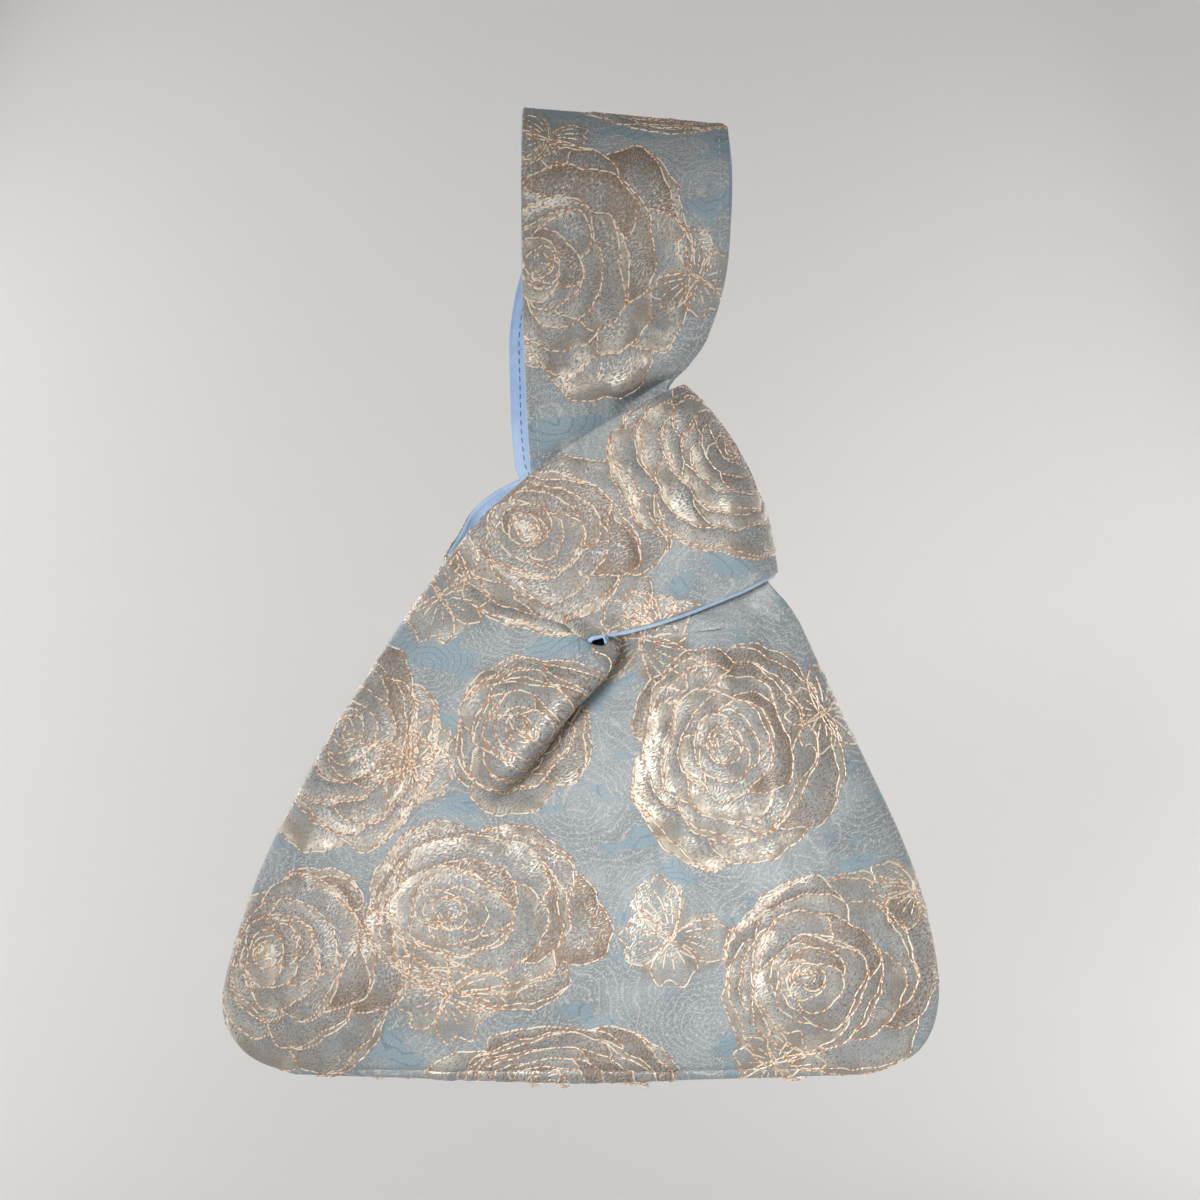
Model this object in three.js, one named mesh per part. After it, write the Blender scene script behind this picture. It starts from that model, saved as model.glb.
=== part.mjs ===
// A closed knot bag, hanging from a wrist. Two brocade panels and two lining panels are sewn at the sides and
// along the bottom. Each panel is one piece of cloth with a body and two handle arms: the arms on the left meet
// in a short loop, and the arms on the right meet in a long loop. The long loop has been passed through the short
// one, so the short loop crosses in front of it, wraps round its right edge and returns behind it.
//
// Millimetres, +Z up, +X towards the fold of the short loop, the front panel towards -Y. The origin is the point
// under the top of the long loop where it bears on the wrist.
import * as THREE from "three";

// Cloth
const BROCADE_THICKNESS = 0.8;
const LINING_THICKNESS = 0.5;
const PLY_GAP = 0.3; // between the brocade and its lining
const SEAM_GAP = 0.3; // between the front pieces and the back pieces where they are sewn together

// Body of the bag
const BASE_WIDTH = 250; // side to side at the widest, just above the bottom seam
const BASE_SHIFT = -15.5; // the middle of the base, from the middle of the long loop
const BAG_DROP = 337; // from the wrist down to the bottom seam
const CORNER_WIDTH = 24; // the rounded bottom corners, across
const CORNER_HEIGHT = 30; // and up
const BODY_DEPTH = 43; // front to back where the bag is fullest
const NECK_DROP = 183; // from the wrist down to the lowest point of the neckline
const NECK_SHIFT = -12.3; // that point, from the middle of the long loop
const NECK_DEPTH = 30; // front to back at that point
const NOTCH_HEIGHT = 3.2; // the small opening at the end of the cut between a panel's two arms
const NOTCH_RISE = 2.3; // how far the cut's two sides part from the surface there, one out and one in
const LEFT_SLIT_DROP = 154; // where the left side seam ends and the two short arms part
const LEFT_SLIT_SHIFT = -62;
const RIGHT_SLIT_DROP = 176; // where the right side seam ends and the two long arms part
const RIGHT_SLIT_SHIFT = 60.5;

// Short loop, which crosses the long one in the knot
const BAND_WIDTH = 72.7;
const BAND_TILT = 26.4; // degrees that the band rises towards the fold
const FOLD_SHIFT = 36.6; // the middle of the fold, from the middle of the long loop
const FOLD_DROP = 125.7; // and below the wrist
const FOLD_BOW = 6.5; // how far the fold's edge bulges past a straight line
const KNOT_DEPTH = 27; // front to back across the short loop
const BAND_SWELL = 3; // how far the band's lower edge stands out past that

// Long loop, which goes over the wrist
const HANDLE_WIDTH = 70.5;
const WRIST_DIAMETER = 58;
const LOOP_SLOPE = 0.09; // the loop's top falls towards the fold's side by this much for each millimetre across
const ARM_WIDTH_IN_KNOT = 54; // the long arm's width where the short loop squeezes it
const ARM_DEPTH_IN_KNOT = 13; // front to back across the two long arms in the knot
const KNOT_TOP_SHIFT = -9; // the middle of the long arm where it leaves the knot
const KNOT_TOP_DROP = 109.5;

// Folds that the pull of the knot makes in each panel
const PLEAT_HEIGHT = 8.4; // the ridge that runs down and left from the neckline
const PLEAT_LENGTH = 60;
const PLEAT_SPREAD = 8;
const PLEAT_ANGLE = 229; // degrees, the way it runs
const PLEAT_SHIFT = 6; // its crest, to the lower right of the neckline's lowest point
const PLEAT_HOLLOW = 5; // the hollow along its lower right side
const PLEAT_HOLLOW_SHIFT = 14;
const PLEAT_HOLLOW_SPREAD = 5.5;
const VALLEY_DEPTH = 10; // the hollow under the band, to the right of the ridge
const VALLEY_SPREAD = 15;
const VALLEY_LENGTH = 62;

// Soft folds of each panel: where each runs, its spread, and its height, or depth below 0, and the half it lies on
const FRONT_FOLDS = [
  { from: [24, -176], to: [40, -206], spread: 6, height: 2.2, half: "long" },
  { from: [42, -168], to: [66, -202], spread: 5, height: -2.6, half: "long" },
  { from: [-56, -164], to: [-92, -210], spread: 7, height: 1.6, half: "short" },
  { from: [-20, -186], to: [-66, -190], spread: 7, height: -1.8, half: "short" },
  { from: [-60, -172], to: [-70, -214], spread: 6, height: -1.4, half: "short" },
  { from: [24, -86], to: [-8, -62], spread: 5, height: -2.2, half: "long" },
  { from: [20, -98], to: [-14, -92], spread: 6, height: 1.8, half: "long" },
  { from: [-30, -116], to: [2, -80], spread: 7, height: 1.3, half: "long" },
  { from: [33, -66], to: [12, -44], spread: 7, height: 1.4, half: "long" },
  { from: [-8, -178], to: [34, -132], spread: 9, height: -1.2, half: "short" },
  { from: [-48, -148], to: [22, -122], spread: 12, height: 1.4, half: "short" },
  { from: [-70, -246], to: [-96, -300], spread: 16, height: 1.6, half: "both" },
  { from: [52, -250], to: [88, -300], spread: 16, height: 1.4, half: "both" },
  { from: [0, -236], to: [4, -300], spread: 20, height: -1.2, half: "both" },
];
const BACK_FOLDS = [
  { from: [44, -168], to: [70, -208], spread: 5, height: -2.4, half: "long" },
  { from: [26, -178], to: [48, -214], spread: 7, height: 2, half: "long" },
  { from: [-54, -164], to: [-84, -208], spread: 7, height: 2, half: "short" },
  { from: [-22, -188], to: [-70, -204], spread: 7, height: -2, half: "short" },
  { from: [-16, -190], to: [10, -236], spread: 9, height: 1.8, half: "both" },
  { from: [20, -92], to: [-16, -74], spread: 6, height: -2, half: "long" },
  { from: [18, -104], to: [-20, -98], spread: 7, height: 1.6, half: "long" },
  { from: [-6, -174], to: [36, -130], spread: 9, height: -1.4, half: "short" },
  { from: [-66, -250], to: [-100, -302], spread: 18, height: 1.5, half: "both" },
  { from: [50, -240], to: [84, -300], spread: 18, height: 1.5, half: "both" },
];

// Ripples all over each panel: crest to crest, the way across them, their height, and where they start in degrees
const FRONT_RIPPLES = [
  { pitch: 58, way: 12, height: 0.75, start: 40 },
  { pitch: 41, way: 118, height: 0.55, start: 200 },
  { pitch: 73, way: 64, height: 0.6, start: 310 },
];
const BACK_RIPPLES = [
  { pitch: 61, way: 24, height: 0.75, start: 150 },
  { pitch: 44, way: 135, height: 0.55, start: 20 },
  { pitch: 70, way: 80, height: 0.6, start: 250 },
];

// The back panel lies a little differently from the front one
const BACK_FOLD_SHARE = 0.6; // its folds are this much of the front's
const BACK_SLIT_BULGE = 4; // its short arm stands out past the front's at the left slit
const BACK_ARM_SHIFT = 4.6; // its long arm hangs this much further left above the knot
const BACK_TOP_SHIFT = 3.2; // and this much further right just behind the wrist

const COLUMNS = 12; // facets across each half of a panel

const { clamp, degToRad, lerp, smoothstep } = THREE.MathUtils;
const point = (x, z) => new THREE.Vector2(x, z);
const heading = (degrees) => point(Math.cos(degToRad(degrees)), Math.sin(degToRad(degrees)));
const insideReach = PLY_GAP / 2 + LINING_THICKNESS; // from a panel's middle surface to its lining's inner face
const seamDepth = SEAM_GAP / 2;

// A smooth curve through points, or numbers, that stand at whole values of u
function through(values, u) {
  const last = values.length - 1;
  const i = clamp(Math.floor(u), 0, last - 1);
  const t = u - i;
  const [p, q, r, s] = [-1, 0, 1, 2].map((k) => values[clamp(i + k, 0, last)]);
  const cubic = (a, b, c, d) => b + 0.5 * t * (c - a + t * (2 * a - 5 * b + 4 * c - d + t * (3 * (b - c) + d - a)));
  return p.isVector2 ? point(cubic(p.x, q.x, r.x, s.x), cubic(p.y, q.y, r.y, s.y)) : cubic(p, q, r, s);
}

// A cubic curve that leaves one point at a heading and arrives at another point at a heading
const bend = (from, fromHeading, fromReach, to, toHeading, toReach) =>
  new THREE.CubicBezierCurve(
    from,
    from.clone().addScaledVector(heading(fromHeading), fromReach),
    to.clone().addScaledVector(heading(toHeading), -toReach),
    to,
  );

// The neckline's lowest point is the bottom of a small notch, whose two sides lead into the edges of the arms
const neckPoint = point(NECK_SHIFT, -NECK_DROP);
const notchMiddle = point(NECK_SHIFT, -NECK_DROP + NOTCH_HEIGHT / 2);
function armEdge(startHeading, notchShare, leaveHeading, end, endHeading, reach) {
  const notchEnd = neckPoint.clone().addScaledVector(notchShare, NOTCH_HEIGHT);
  const edge = new THREE.CurvePath();
  edge.add(bend(neckPoint, startHeading, NOTCH_HEIGHT / 2, notchEnd, leaveHeading, NOTCH_HEIGHT / 2));
  edge.add(bend(notchEnd, leaveHeading, reach, end, endHeading, reach));
  return edge;
}

// The short loop: its own directions, the ends of the fold's edge, and the band's two edges up to the fold
const leftSlit = point(LEFT_SLIT_SHIFT, -LEFT_SLIT_DROP);
const alongBand = heading(BAND_TILT);
const acrossBand = heading(BAND_TILT + 90);
const foldRadius = KNOT_DEPTH / 2 - seamDepth;
const foldStart = (side) =>
  point(FOLD_SHIFT, -FOLD_DROP)
    .addScaledVector(acrossBand, (side * BAND_WIDTH) / 2)
    .addScaledVector(alongBand, -foldRadius);
const bandTopEdge = bend(leftSlit, 52, 26, foldStart(1), BAND_TILT - 3, 26);
const bandBottomEdge = armEdge(118, point(0.1, 1), 2, foldStart(-1), BAND_TILT - 4, 18);

// The long loop: the arm's two edges from the neckline and the right slit up into the knot
const rightSlit = point(RIGHT_SLIT_SHIFT, -RIGHT_SLIT_DROP);
const knotTop = (side) =>
  point(KNOT_TOP_SHIFT, -KNOT_TOP_DROP).addScaledVector(heading(28), (side * ARM_WIDTH_IN_KNOT) / 2);
const armRightEdge = bend(rightSlit, 134, 22, knotTop(1), 113, 30);
const armLeftEdge = armEdge(50, point(0.42, 0.7), 118, knotTop(-1), 108, 16);

// Above the knot the long arm runs straight until it meets the round of the wrist
const loopRadius = WRIST_DIAMETER / 2 + insideReach;
const wristDrop = WRIST_DIAMETER / 2;
const armDepthInKnot = ARM_DEPTH_IN_KNOT / 2;
const knotBelowWrist = KNOT_TOP_DROP - wristDrop;
const leaveAngle =
  Math.acos(loopRadius / Math.hypot(knotBelowWrist, armDepthInKnot)) -
  Math.atan2(knotBelowWrist, armDepthInKnot);
const leaveDepth = loopRadius * Math.cos(leaveAngle);
const wristEdge = (side) => {
  const x = (side * HANDLE_WIDTH) / 2;
  return point(x, -wristDrop + loopRadius * Math.sin(leaveAngle) - LOOP_SLOPE * x);
};
const handleEdge = (side, share) => {
  const start = knotTop(side);
  const end = wristEdge(side);
  return point(lerp(start.x, end.x, 1 - (1 - share) ** 2.2), lerp(start.y, end.y, share));
};

// Outline of the body: the rounded bottom corner, the side seam and the slit at its top, on either side
const baseLeft = BASE_SHIFT - BASE_WIDTH / 2;
const baseRight = BASE_SHIFT + BASE_WIDTH / 2;
const sideOutline = (x, inwards, side, shares) => [
  point(x + inwards * CORNER_WIDTH, -BAG_DROP + 3),
  point(x + inwards * CORNER_WIDTH * 0.27, -BAG_DROP + CORNER_HEIGHT * 0.38),
  ...shares.map((share) => side.getPoint(share)),
];
const leftSide = bend(point(baseLeft, -BAG_DROP + CORNER_HEIGHT), 82, 48, leftSlit, 54, 50);
const rightSide = bend(point(baseRight, -BAG_DROP + CORNER_HEIGHT), 92, 44, rightSlit, 114, 68);
const leftOutline = sideOutline(baseLeft, 1, leftSide, [0, 0.26, 0.48, 0.68, 0.86, 1]);
const rightOutline = sideOutline(baseRight, -1, rightSide, [0, 0.24, 0.46, 0.67, 0.86, 1]);

// Rows of the body, from the bottom seam up to the neckline: their height on the middle line, and their depth
// there, as shares of the body's height and its fullest depth
const rowHeights = [0, 0.06, 0.21, 0.42, 0.64, 0.83, 0.93, 1];
const rowDepths = [0, 0.42, 0.78, 0.98, 1.02, 0.92, 0.8];
const NECK_ROW = rowHeights.length - 1;
const middleLine = rowHeights.map((share) =>
  point(lerp(BASE_SHIFT, NECK_SHIFT, share), lerp(-BAG_DROP, -NECK_DROP, share)),
);
const middleDepths = [...rowDepths.map((share) => (share * BODY_DEPTH) / 2), NECK_DEPTH / 2];
const bodyDepthAt = (row) => (row < 1 ? middleDepths[1] * Math.sqrt(row) : through(middleDepths, row));

// How far along a quarter turn a share has come
const easeOut = (share) => Math.sin((clamp(share, 0, 1) * Math.PI) / 2);

// The half of a panel on the left, up to the fold of the short loop. An arm's share runs from 0 at the neckline.
const shortHalf = {
  isShort: true,
  rows: NECK_ROW + 1,
  turnRows: 4,
  bodySteps: [1, 3, 4, 5, 5, 4, 2],
  armShares: [0.012, 0.024, 0.037, 0.05, 0.09, 0.15, 0.23, 0.32, 0.42, 0.53, 0.65, 0.77, 0.89, 1],
  outline: leftOutline,
  outer: (share) => bandTopEdge.getPoint(share),
  inner: (share) => bandBottomEdge.getPoint(share),
  outerDepth: (share) => foldRadius * easeOut(share / 0.5),
  innerDepth: (share) =>
    lerp(NECK_DEPTH / 2, foldRadius, smoothstep(share, 0, 0.4)) + BAND_SWELL * Math.sin(Math.PI * share),
  sewn: (share) => 0.6 * (1 - smoothstep(share, 0, 0.4)),
  crown: (share) => 2 * Math.sin(Math.PI * share),
};

// The half on the right, up to the wrist. Its share runs from 1 in the knot to 2 where the loop starts to turn.
const longHalf = {
  isShort: false,
  rows: NECK_ROW + 2,
  turnRows: 7,
  bodySteps: shortHalf.bodySteps,
  armShares: [
    ...[0.015, 0.03, 0.045, 0.08, 0.13, 0.2, 0.29, 0.4, 0.52, 0.64, 0.76, 0.88, 1],
    ...[1.13, 1.27, 1.42, 1.57, 1.72, 1.86, 2],
  ],
  outline: rightOutline,
  outer: (share) => (share < 1 ? armRightEdge.getPoint(share) : handleEdge(1, share - 1)),
  inner: (share) => (share < 1 ? armLeftEdge.getPoint(share) : handleEdge(-1, share - 1)),
  outerDepth: (share) =>
    share < 1 ? armDepthInKnot * easeOut(share / 0.6) : lerp(armDepthInKnot, leaveDepth, share - 1),
  innerDepth: (share) =>
    share < 1
      ? lerp(NECK_DEPTH / 2, armDepthInKnot, smoothstep(share, 0, 0.3))
      : lerp(armDepthInKnot, leaveDepth, share - 1),
  sewn: (share) => 0.6 * (1 - smoothstep(share, 0, 0.4)),
  crown: (share) => 1.2 * Math.sin(Math.PI * clamp(share, 0, 1)),
};

// How far the pull of the knot pushes a place on a panel outwards, apart from its general shape
function foldPush(flat, armShare, isShort) {
  const from = flat.clone().sub(neckPoint);
  const run = heading(PLEAT_ANGLE);
  const down = from.dot(run) / PLEAT_LENGTH;
  const aside = from.y * run.x - from.x * run.y;
  const crest = Math.exp(-(((aside - PLEAT_SHIFT) / PLEAT_SPREAD) ** 2));
  const hollow = Math.exp(-(((aside - PLEAT_HOLLOW_SHIFT) / PLEAT_HOLLOW_SPREAD) ** 2));
  const starts = [smoothstep(down, -0.3, 0.15), smoothstep(down, 0, 0.35)];
  const height = PLEAT_HEIGHT * crest * starts[0] - PLEAT_HOLLOW * hollow * starts[1];
  const ridge = smoothstep(1.1 - down, 0, 0.4) * height;
  const below = -from.y / VALLEY_LENGTH;
  const spread = VALLEY_SPREAD * (1 - 0.45 * clamp(below, 0, 1));
  const beside = (from.x - VALLEY_SPREAD * (1.1 - 1.3 * below)) / spread;
  const valley = smoothstep(1 - below, 0, 1) * smoothstep(below, -0.5, 0) * Math.exp(-(beside ** 2));
  const stay = 1 - smoothstep(armShare, 0, isShort ? 0.2 : 0.35);
  return (ridge - VALLEY_DEPTH * valley) * stay;
}

// How far a panel's soft folds and ripples push a place outwards. They fade out at the seams and the loops' ends.
function softPush(flat, half, u, inset, isBack) {
  const share = Math.max(0, u - NECK_ROW);
  const body = 1 - smoothstep(share, 0, 0.08);
  const nearNotch = 1 - Math.exp(-((flat.distanceTo(notchMiddle) / 7) ** 2));
  const ends = smoothstep(half.rows + 0.4 - u, 0, 0.5) * smoothstep(u, 0, 1.6);
  let push = 0;
  for (const { from, to, spread, height, half: where } of isBack ? BACK_FOLDS : FRONT_FOLDS) {
    if (where !== "both" && (where === "short") !== half.isShort) continue;
    const start = point(...from);
    const run = point(...to).sub(start);
    const t = clamp(flat.clone().sub(start).dot(run) / run.lengthSq(), 0, 1);
    const away = flat.distanceTo(start.addScaledVector(run, t));
    push += height * (0.45 + 0.55 * Math.sin(Math.PI * t) ** 0.7) * Math.exp(-((away / spread) ** 2));
  }
  for (const { pitch, way, height, start } of isBack ? BACK_RIPPLES : FRONT_RIPPLES) {
    const phase = (2 * Math.PI * flat.dot(heading(way))) / pitch + degToRad(start);
    push += height * Math.sin(phase) * (0.5 + 0.5 * body);
  }
  return push * ends * nearNotch * lerp(1, smoothstep(inset, 3, 32), body);
}

// How far the sides of the notch part, the short arm outwards and the long arm inwards
function notchPush(flat, isShort) {
  const from = flat.clone().sub(notchMiddle);
  const reach = from.length();
  const turned = Math.atan2(isShort ? -from.x : from.x, -from.y);
  const swept = (turned < -0.2 ? turned + 2 * Math.PI : turned) / Math.PI;
  return (isShort ? 1 : -1) * NOTCH_RISE * Math.max(0, swept) * Math.exp(-reach / (4 * NOTCH_HEIGHT));
}

// A point of the front panel's middle surface. u counts rows from the bottom seam; past the last one it is the
// share of the turn at the loop's end. a runs from the outer edge, 0, to the inner edge, 1.
function frontPoint(half, u, a, foldShare = 1, isBack = false) {
  const row = Math.min(u, half.rows);
  const share = Math.max(0, row - NECK_ROW);
  const inBody = row <= NECK_ROW;
  const outer = inBody ? through(half.outline, row) : half.outer(share);
  const inner = inBody ? through(middleLine, row) : half.inner(share);
  const outerDepth = inBody ? 0 : half.outerDepth(share);
  const innerDepth = inBody ? bodyDepthAt(row) : half.innerDepth(share);
  const sewn = inBody ? lerp(1, 0.6, smoothstep(row, NECK_ROW - 1, NECK_ROW)) : half.sewn(share);
  const rise = sewn * Math.sqrt(Math.max(0, 1 - (1 - a) ** 2.5)) + (1 - sewn) * a;
  const flat = outer.clone().lerp(inner, a);
  const free = smoothstep(a, 0, 0.35) * Math.min(1, (2 * innerDepth) / BODY_DEPTH);
  let depth = lerp(outerDepth, innerDepth, rise) + half.crown(share) * 4 * a * (1 - a) * (inBody ? 0 : 1);
  depth += foldPush(flat, share, half.isShort) * foldShare * free + notchPush(flat, half.isShort);
  depth += softPush(flat, half, u, a * outer.distanceTo(inner), isBack);
  depth = seamDepth + Math.max(0, depth);
  if (!half.isShort && u > half.rows) {
    const angle = lerp(leaveAngle, Math.PI / 2, u - half.rows);
    const top = -wristDrop + loopRadius * Math.sin(angle) - LOOP_SLOPE * flat.x;
    return new THREE.Vector3(flat.x, -(seamDepth + loopRadius * Math.cos(angle)), top);
  }
  if (half.isShort) {
    flat.addScaledVector(alongBand, FOLD_BOW * smoothstep(share, 0.45, 1) * 4 * a * (1 - a));
    const angle = (Math.max(0, u - half.rows) * Math.PI) / 2;
    flat.addScaledVector(alongBand, (depth - seamDepth) * Math.sin(angle));
    depth = lerp(seamDepth, depth, Math.cos(angle));
  }
  return new THREE.Vector3(flat.x, -depth, flat.y);
}

// The back panel's middle surface is the front's mirrored through the bag's middle plane, with its own set
function backPoint(half, u, a) {
  const p = frontPoint(half, u, a, BACK_FOLD_SHARE, true);
  if (half.isShort) {
    const out = Math.exp(-(((u - NECK_ROW - 0.25) / 0.2) ** 2)) * (1 - a) ** 2 * BACK_SLIT_BULGE;
    p.x -= out * acrossBand.y * 0.7;
    p.z += out * 0.7;
  } else {
    const hang = smoothstep(u, NECK_ROW + 0.4, NECK_ROW + 1.2) * smoothstep(half.rows - u, 0, 0.5);
    const top = Math.sin(Math.PI * clamp(u - half.rows + 0.25, 0, 1.25) * 0.8);
    p.x += top * BACK_TOP_SHIFT - hang * BACK_ARM_SHIFT;
  }
  p.y = -p.y;
  return p;
}

// The places of all the rows of a half of a panel
const rowPlaces = (half) => [
  ...[0, 0.1, 0.4],
  ...half.bodySteps.flatMap((count, i) => Array.from({ length: count }, (_, k) => i + (k + 1) / count)),
  ...half.armShares.map((share) => NECK_ROW + share),
  ...Array.from({ length: half.turnRows }, (_, k) => half.rows + (k + 1) / half.turnRows),
];

// A panel as a sheet: points of its middle surface, their outward normals, and faces. Its two halves share the
// points of the middle line, up to the neckline. Every point stands far enough out of the bag's middle plane for
// the lining to keep to its own side of the seam.
function panelSheet(place, outwards) {
  const points = [];
  const normals = [];
  const faces = [];
  const shared = new Map();
  for (const half of [shortHalf, longHalf]) {
    const rows = rowPlaces(half);
    const facing = half.isShort === outwards < 0;
    const at = (u, a) => place(half, clamp(u, 0, half.rows + 1), clamp(a, 0, 1));
    const index = rows.map((u) =>
      Array.from({ length: COLUMNS + 1 }, (_, j) => {
        const onMiddleLine = j === COLUMNS && u <= NECK_ROW;
        if (onMiddleLine && shared.has(u)) return shared.get(u);
        const even = j / COLUMNS;
        const a = lerp(even, 1 - Math.cos((even * Math.PI) / 2), 0.75);
        const [nearU, nearA] = [Math.max(u, 0.02), Math.max(a, 0.005)];
        const across = at(nearU, nearA + 0.001).sub(at(nearU, nearA - 0.001));
        const ahead = u === half.rows && !half.isShort ? 0 : 0.001; // the arm's last row faces as the arm does
        const along = at(nearU + ahead, nearA).sub(at(nearU - 0.001, nearA));
        const normal = across.cross(along).normalize().multiplyScalar(facing ? 1 : -1);
        const p = at(u, a);
        p.y = outwards * Math.max(Math.abs(p.y), seamDepth + insideReach * Math.abs(normal.y));
        points.push(p);
        normals.push(normal);
        if (onMiddleLine) shared.set(u, points.length - 1);
        return points.length - 1;
      }),
    );
    for (let i = 0; i + 1 < rows.length; i++) {
      for (let j = 0; j < COLUMNS; j++) {
        const quad = [index[i][j], index[i][j + 1], index[i + 1][j + 1], index[i + 1][j]];
        const [p, q, r, s] = facing ? quad : quad.reverse();
        faces.push([p, q, r], [p, r, s]);
      }
    }
  }
  return { points, normals, faces };
}

// A closed solid between two offsets of a sheet
function ply(sheet, innerOffset, outerOffset) {
  const count = sheet.points.length;
  const vertices = [outerOffset, innerOffset].flatMap((offset) =>
    sheet.points.flatMap((p, i) => p.clone().addScaledVector(sheet.normals[i], offset).toArray()),
  );
  const triangles = [];
  const edges = new Map();
  for (const [a, b, c] of sheet.faces) {
    triangles.push(a, b, c, count + a, count + c, count + b);
    for (const [p, q] of [[a, b], [b, c], [c, a]]) {
      if (!edges.delete(`${q},${p}`)) edges.set(`${p},${q}`, [p, q]);
    }
  }
  for (const [p, q] of edges.values()) triangles.push(p, count + p, count + q, p, count + q, q);
  const geometry = new THREE.BufferGeometry();
  geometry.setAttribute("position", new THREE.Float32BufferAttribute(vertices, 3));
  geometry.setIndex(triangles);
  geometry.computeVertexNormals();
  return geometry;
}

const brocade = new THREE.MeshStandardMaterial({ color: 0x93a5ac, roughness: 0.55, metalness: 0.15 });
const satin = new THREE.MeshStandardMaterial({ color: 0xb9cbe6, roughness: 0.45, metalness: 0 });

const bag = new THREE.Group();
for (const [side, place, outwards] of [["front", frontPoint, -1], ["back", backPoint, 1]]) {
  const sheet = panelSheet(place, outwards);
  const panel = new THREE.Mesh(ply(sheet, PLY_GAP / 2, PLY_GAP / 2 + BROCADE_THICKNESS), brocade);
  const lining = new THREE.Mesh(ply(sheet, -insideReach, -PLY_GAP / 2), satin);
  panel.name = `${side}_panel`;
  lining.name = `${side}_lining`;
  bag.add(panel, lining);
}

export default bag;
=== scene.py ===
"""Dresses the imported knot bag: figured brocade, satin linings, stitching, light and camera."""

import logging
import math
from dataclasses import dataclass, field, replace
from enum import Enum
from typing import Callable, ClassVar, Iterable, Sequence

import bpy
import numpy as np
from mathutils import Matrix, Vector
from mathutils.bvhtree import BVHTree

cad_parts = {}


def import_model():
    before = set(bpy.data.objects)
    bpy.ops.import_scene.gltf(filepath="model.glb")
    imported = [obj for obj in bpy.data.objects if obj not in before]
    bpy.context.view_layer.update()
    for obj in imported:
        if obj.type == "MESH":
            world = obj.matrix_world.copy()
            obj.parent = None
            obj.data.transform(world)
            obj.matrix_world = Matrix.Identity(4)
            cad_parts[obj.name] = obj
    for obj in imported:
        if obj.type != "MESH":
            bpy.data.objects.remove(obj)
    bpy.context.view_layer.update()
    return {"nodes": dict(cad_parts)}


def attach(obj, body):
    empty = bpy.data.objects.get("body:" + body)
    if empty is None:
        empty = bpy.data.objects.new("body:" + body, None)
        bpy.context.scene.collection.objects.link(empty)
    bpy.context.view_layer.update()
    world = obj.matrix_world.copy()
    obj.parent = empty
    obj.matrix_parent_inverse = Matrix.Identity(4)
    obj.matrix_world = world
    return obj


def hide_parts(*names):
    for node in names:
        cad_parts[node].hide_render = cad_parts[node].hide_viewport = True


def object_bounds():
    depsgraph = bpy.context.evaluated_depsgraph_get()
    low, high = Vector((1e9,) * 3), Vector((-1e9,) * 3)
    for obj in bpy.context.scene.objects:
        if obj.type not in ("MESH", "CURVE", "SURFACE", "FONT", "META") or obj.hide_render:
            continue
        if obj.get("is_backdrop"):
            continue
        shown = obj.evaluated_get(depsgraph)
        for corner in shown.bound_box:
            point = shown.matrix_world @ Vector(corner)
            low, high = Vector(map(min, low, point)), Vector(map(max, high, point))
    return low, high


LOG = logging.getLogger("knot_bag")
MM = 0.001
ROOT = "root"
ON_ROW = 1e-9

Colour = tuple[float, float, float, float]
Lines = list[tuple[np.ndarray, np.ndarray]]
Socket = bpy.types.NodeSocket
Plug = Socket | float | tuple


class Side(Enum):
    """The two faces of the bag, by the way each looks along Y."""

    FRONT = -1
    BACK = 1


class Arm(Enum):
    """The half of a panel whose arm ends in the short loop, and the half whose arm ends in the long one."""

    SHORT = "short"
    LONG = "long"


def smoothstep(x: np.ndarray, low: float, high: float) -> np.ndarray:
    """Eases from 0 at low to 1 at high."""
    t = np.clip((x - low) / (high - low), 0.0, 1.0)
    return t * t * (3.0 - 2.0 * t)


def eased(v: np.ndarray) -> np.ndarray:
    """Rises fast from 0 at 0 and comes to rest at 1 at 1."""
    return np.sin(np.clip(v, 0, 1) * math.pi / 2)


def heading(degrees: float) -> np.ndarray:
    """Unit vector at an angle from +X, in the XZ plane."""
    return np.array([math.cos(math.radians(degrees)), math.sin(math.radians(degrees))])


def turned(p: np.ndarray, degrees: float) -> np.ndarray:
    """Points of the XZ plane turned about its origin.

    Args:
        p: Points as X and Z.
        degrees: The angle.

    Returns:
        The turned points.
    """
    c, s = heading(degrees)
    x, z = p[..., 0], p[..., 1]
    return np.stack([x * c - z * s, x * s + z * c], axis=-1)


def through(values: np.ndarray, u: np.ndarray) -> np.ndarray:
    """Smooth curve through values that stand at whole numbers of u.

    Args:
        values: One row for each whole number.
        u: Places along the curve.

    Returns:
        One row for each place.
    """
    last = len(values) - 1
    i = np.clip(np.floor(u).astype(int), 0, last - 1)
    t = u - i
    if values.ndim > 1:
        t = t[..., None]
    p, q, r, s = (values[np.clip(i + k, 0, last)] for k in (-1, 0, 1, 2))
    return q + 0.5 * t * (r - p + t * (2 * p - 5 * q + 4 * r - s + t * (3 * (q - r) + s - p)))


def unit(v: np.ndarray) -> np.ndarray:
    """Rows scaled to length 1."""
    return v / np.maximum(np.linalg.norm(v, axis=-1, keepdims=True), 1e-12)


def path_length(line: np.ndarray) -> np.ndarray:
    """Length along a line up to each of its points."""
    return np.concatenate([[0], np.cumsum(np.linalg.norm(np.diff(line, axis=0), axis=-1))])


def cross_flat(p: np.ndarray, q: np.ndarray) -> np.ndarray:
    """Twice the area between each pair of vectors in a plane."""
    return p[:, 0] * q[:, 1] - p[:, 1] * q[:, 0]


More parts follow.
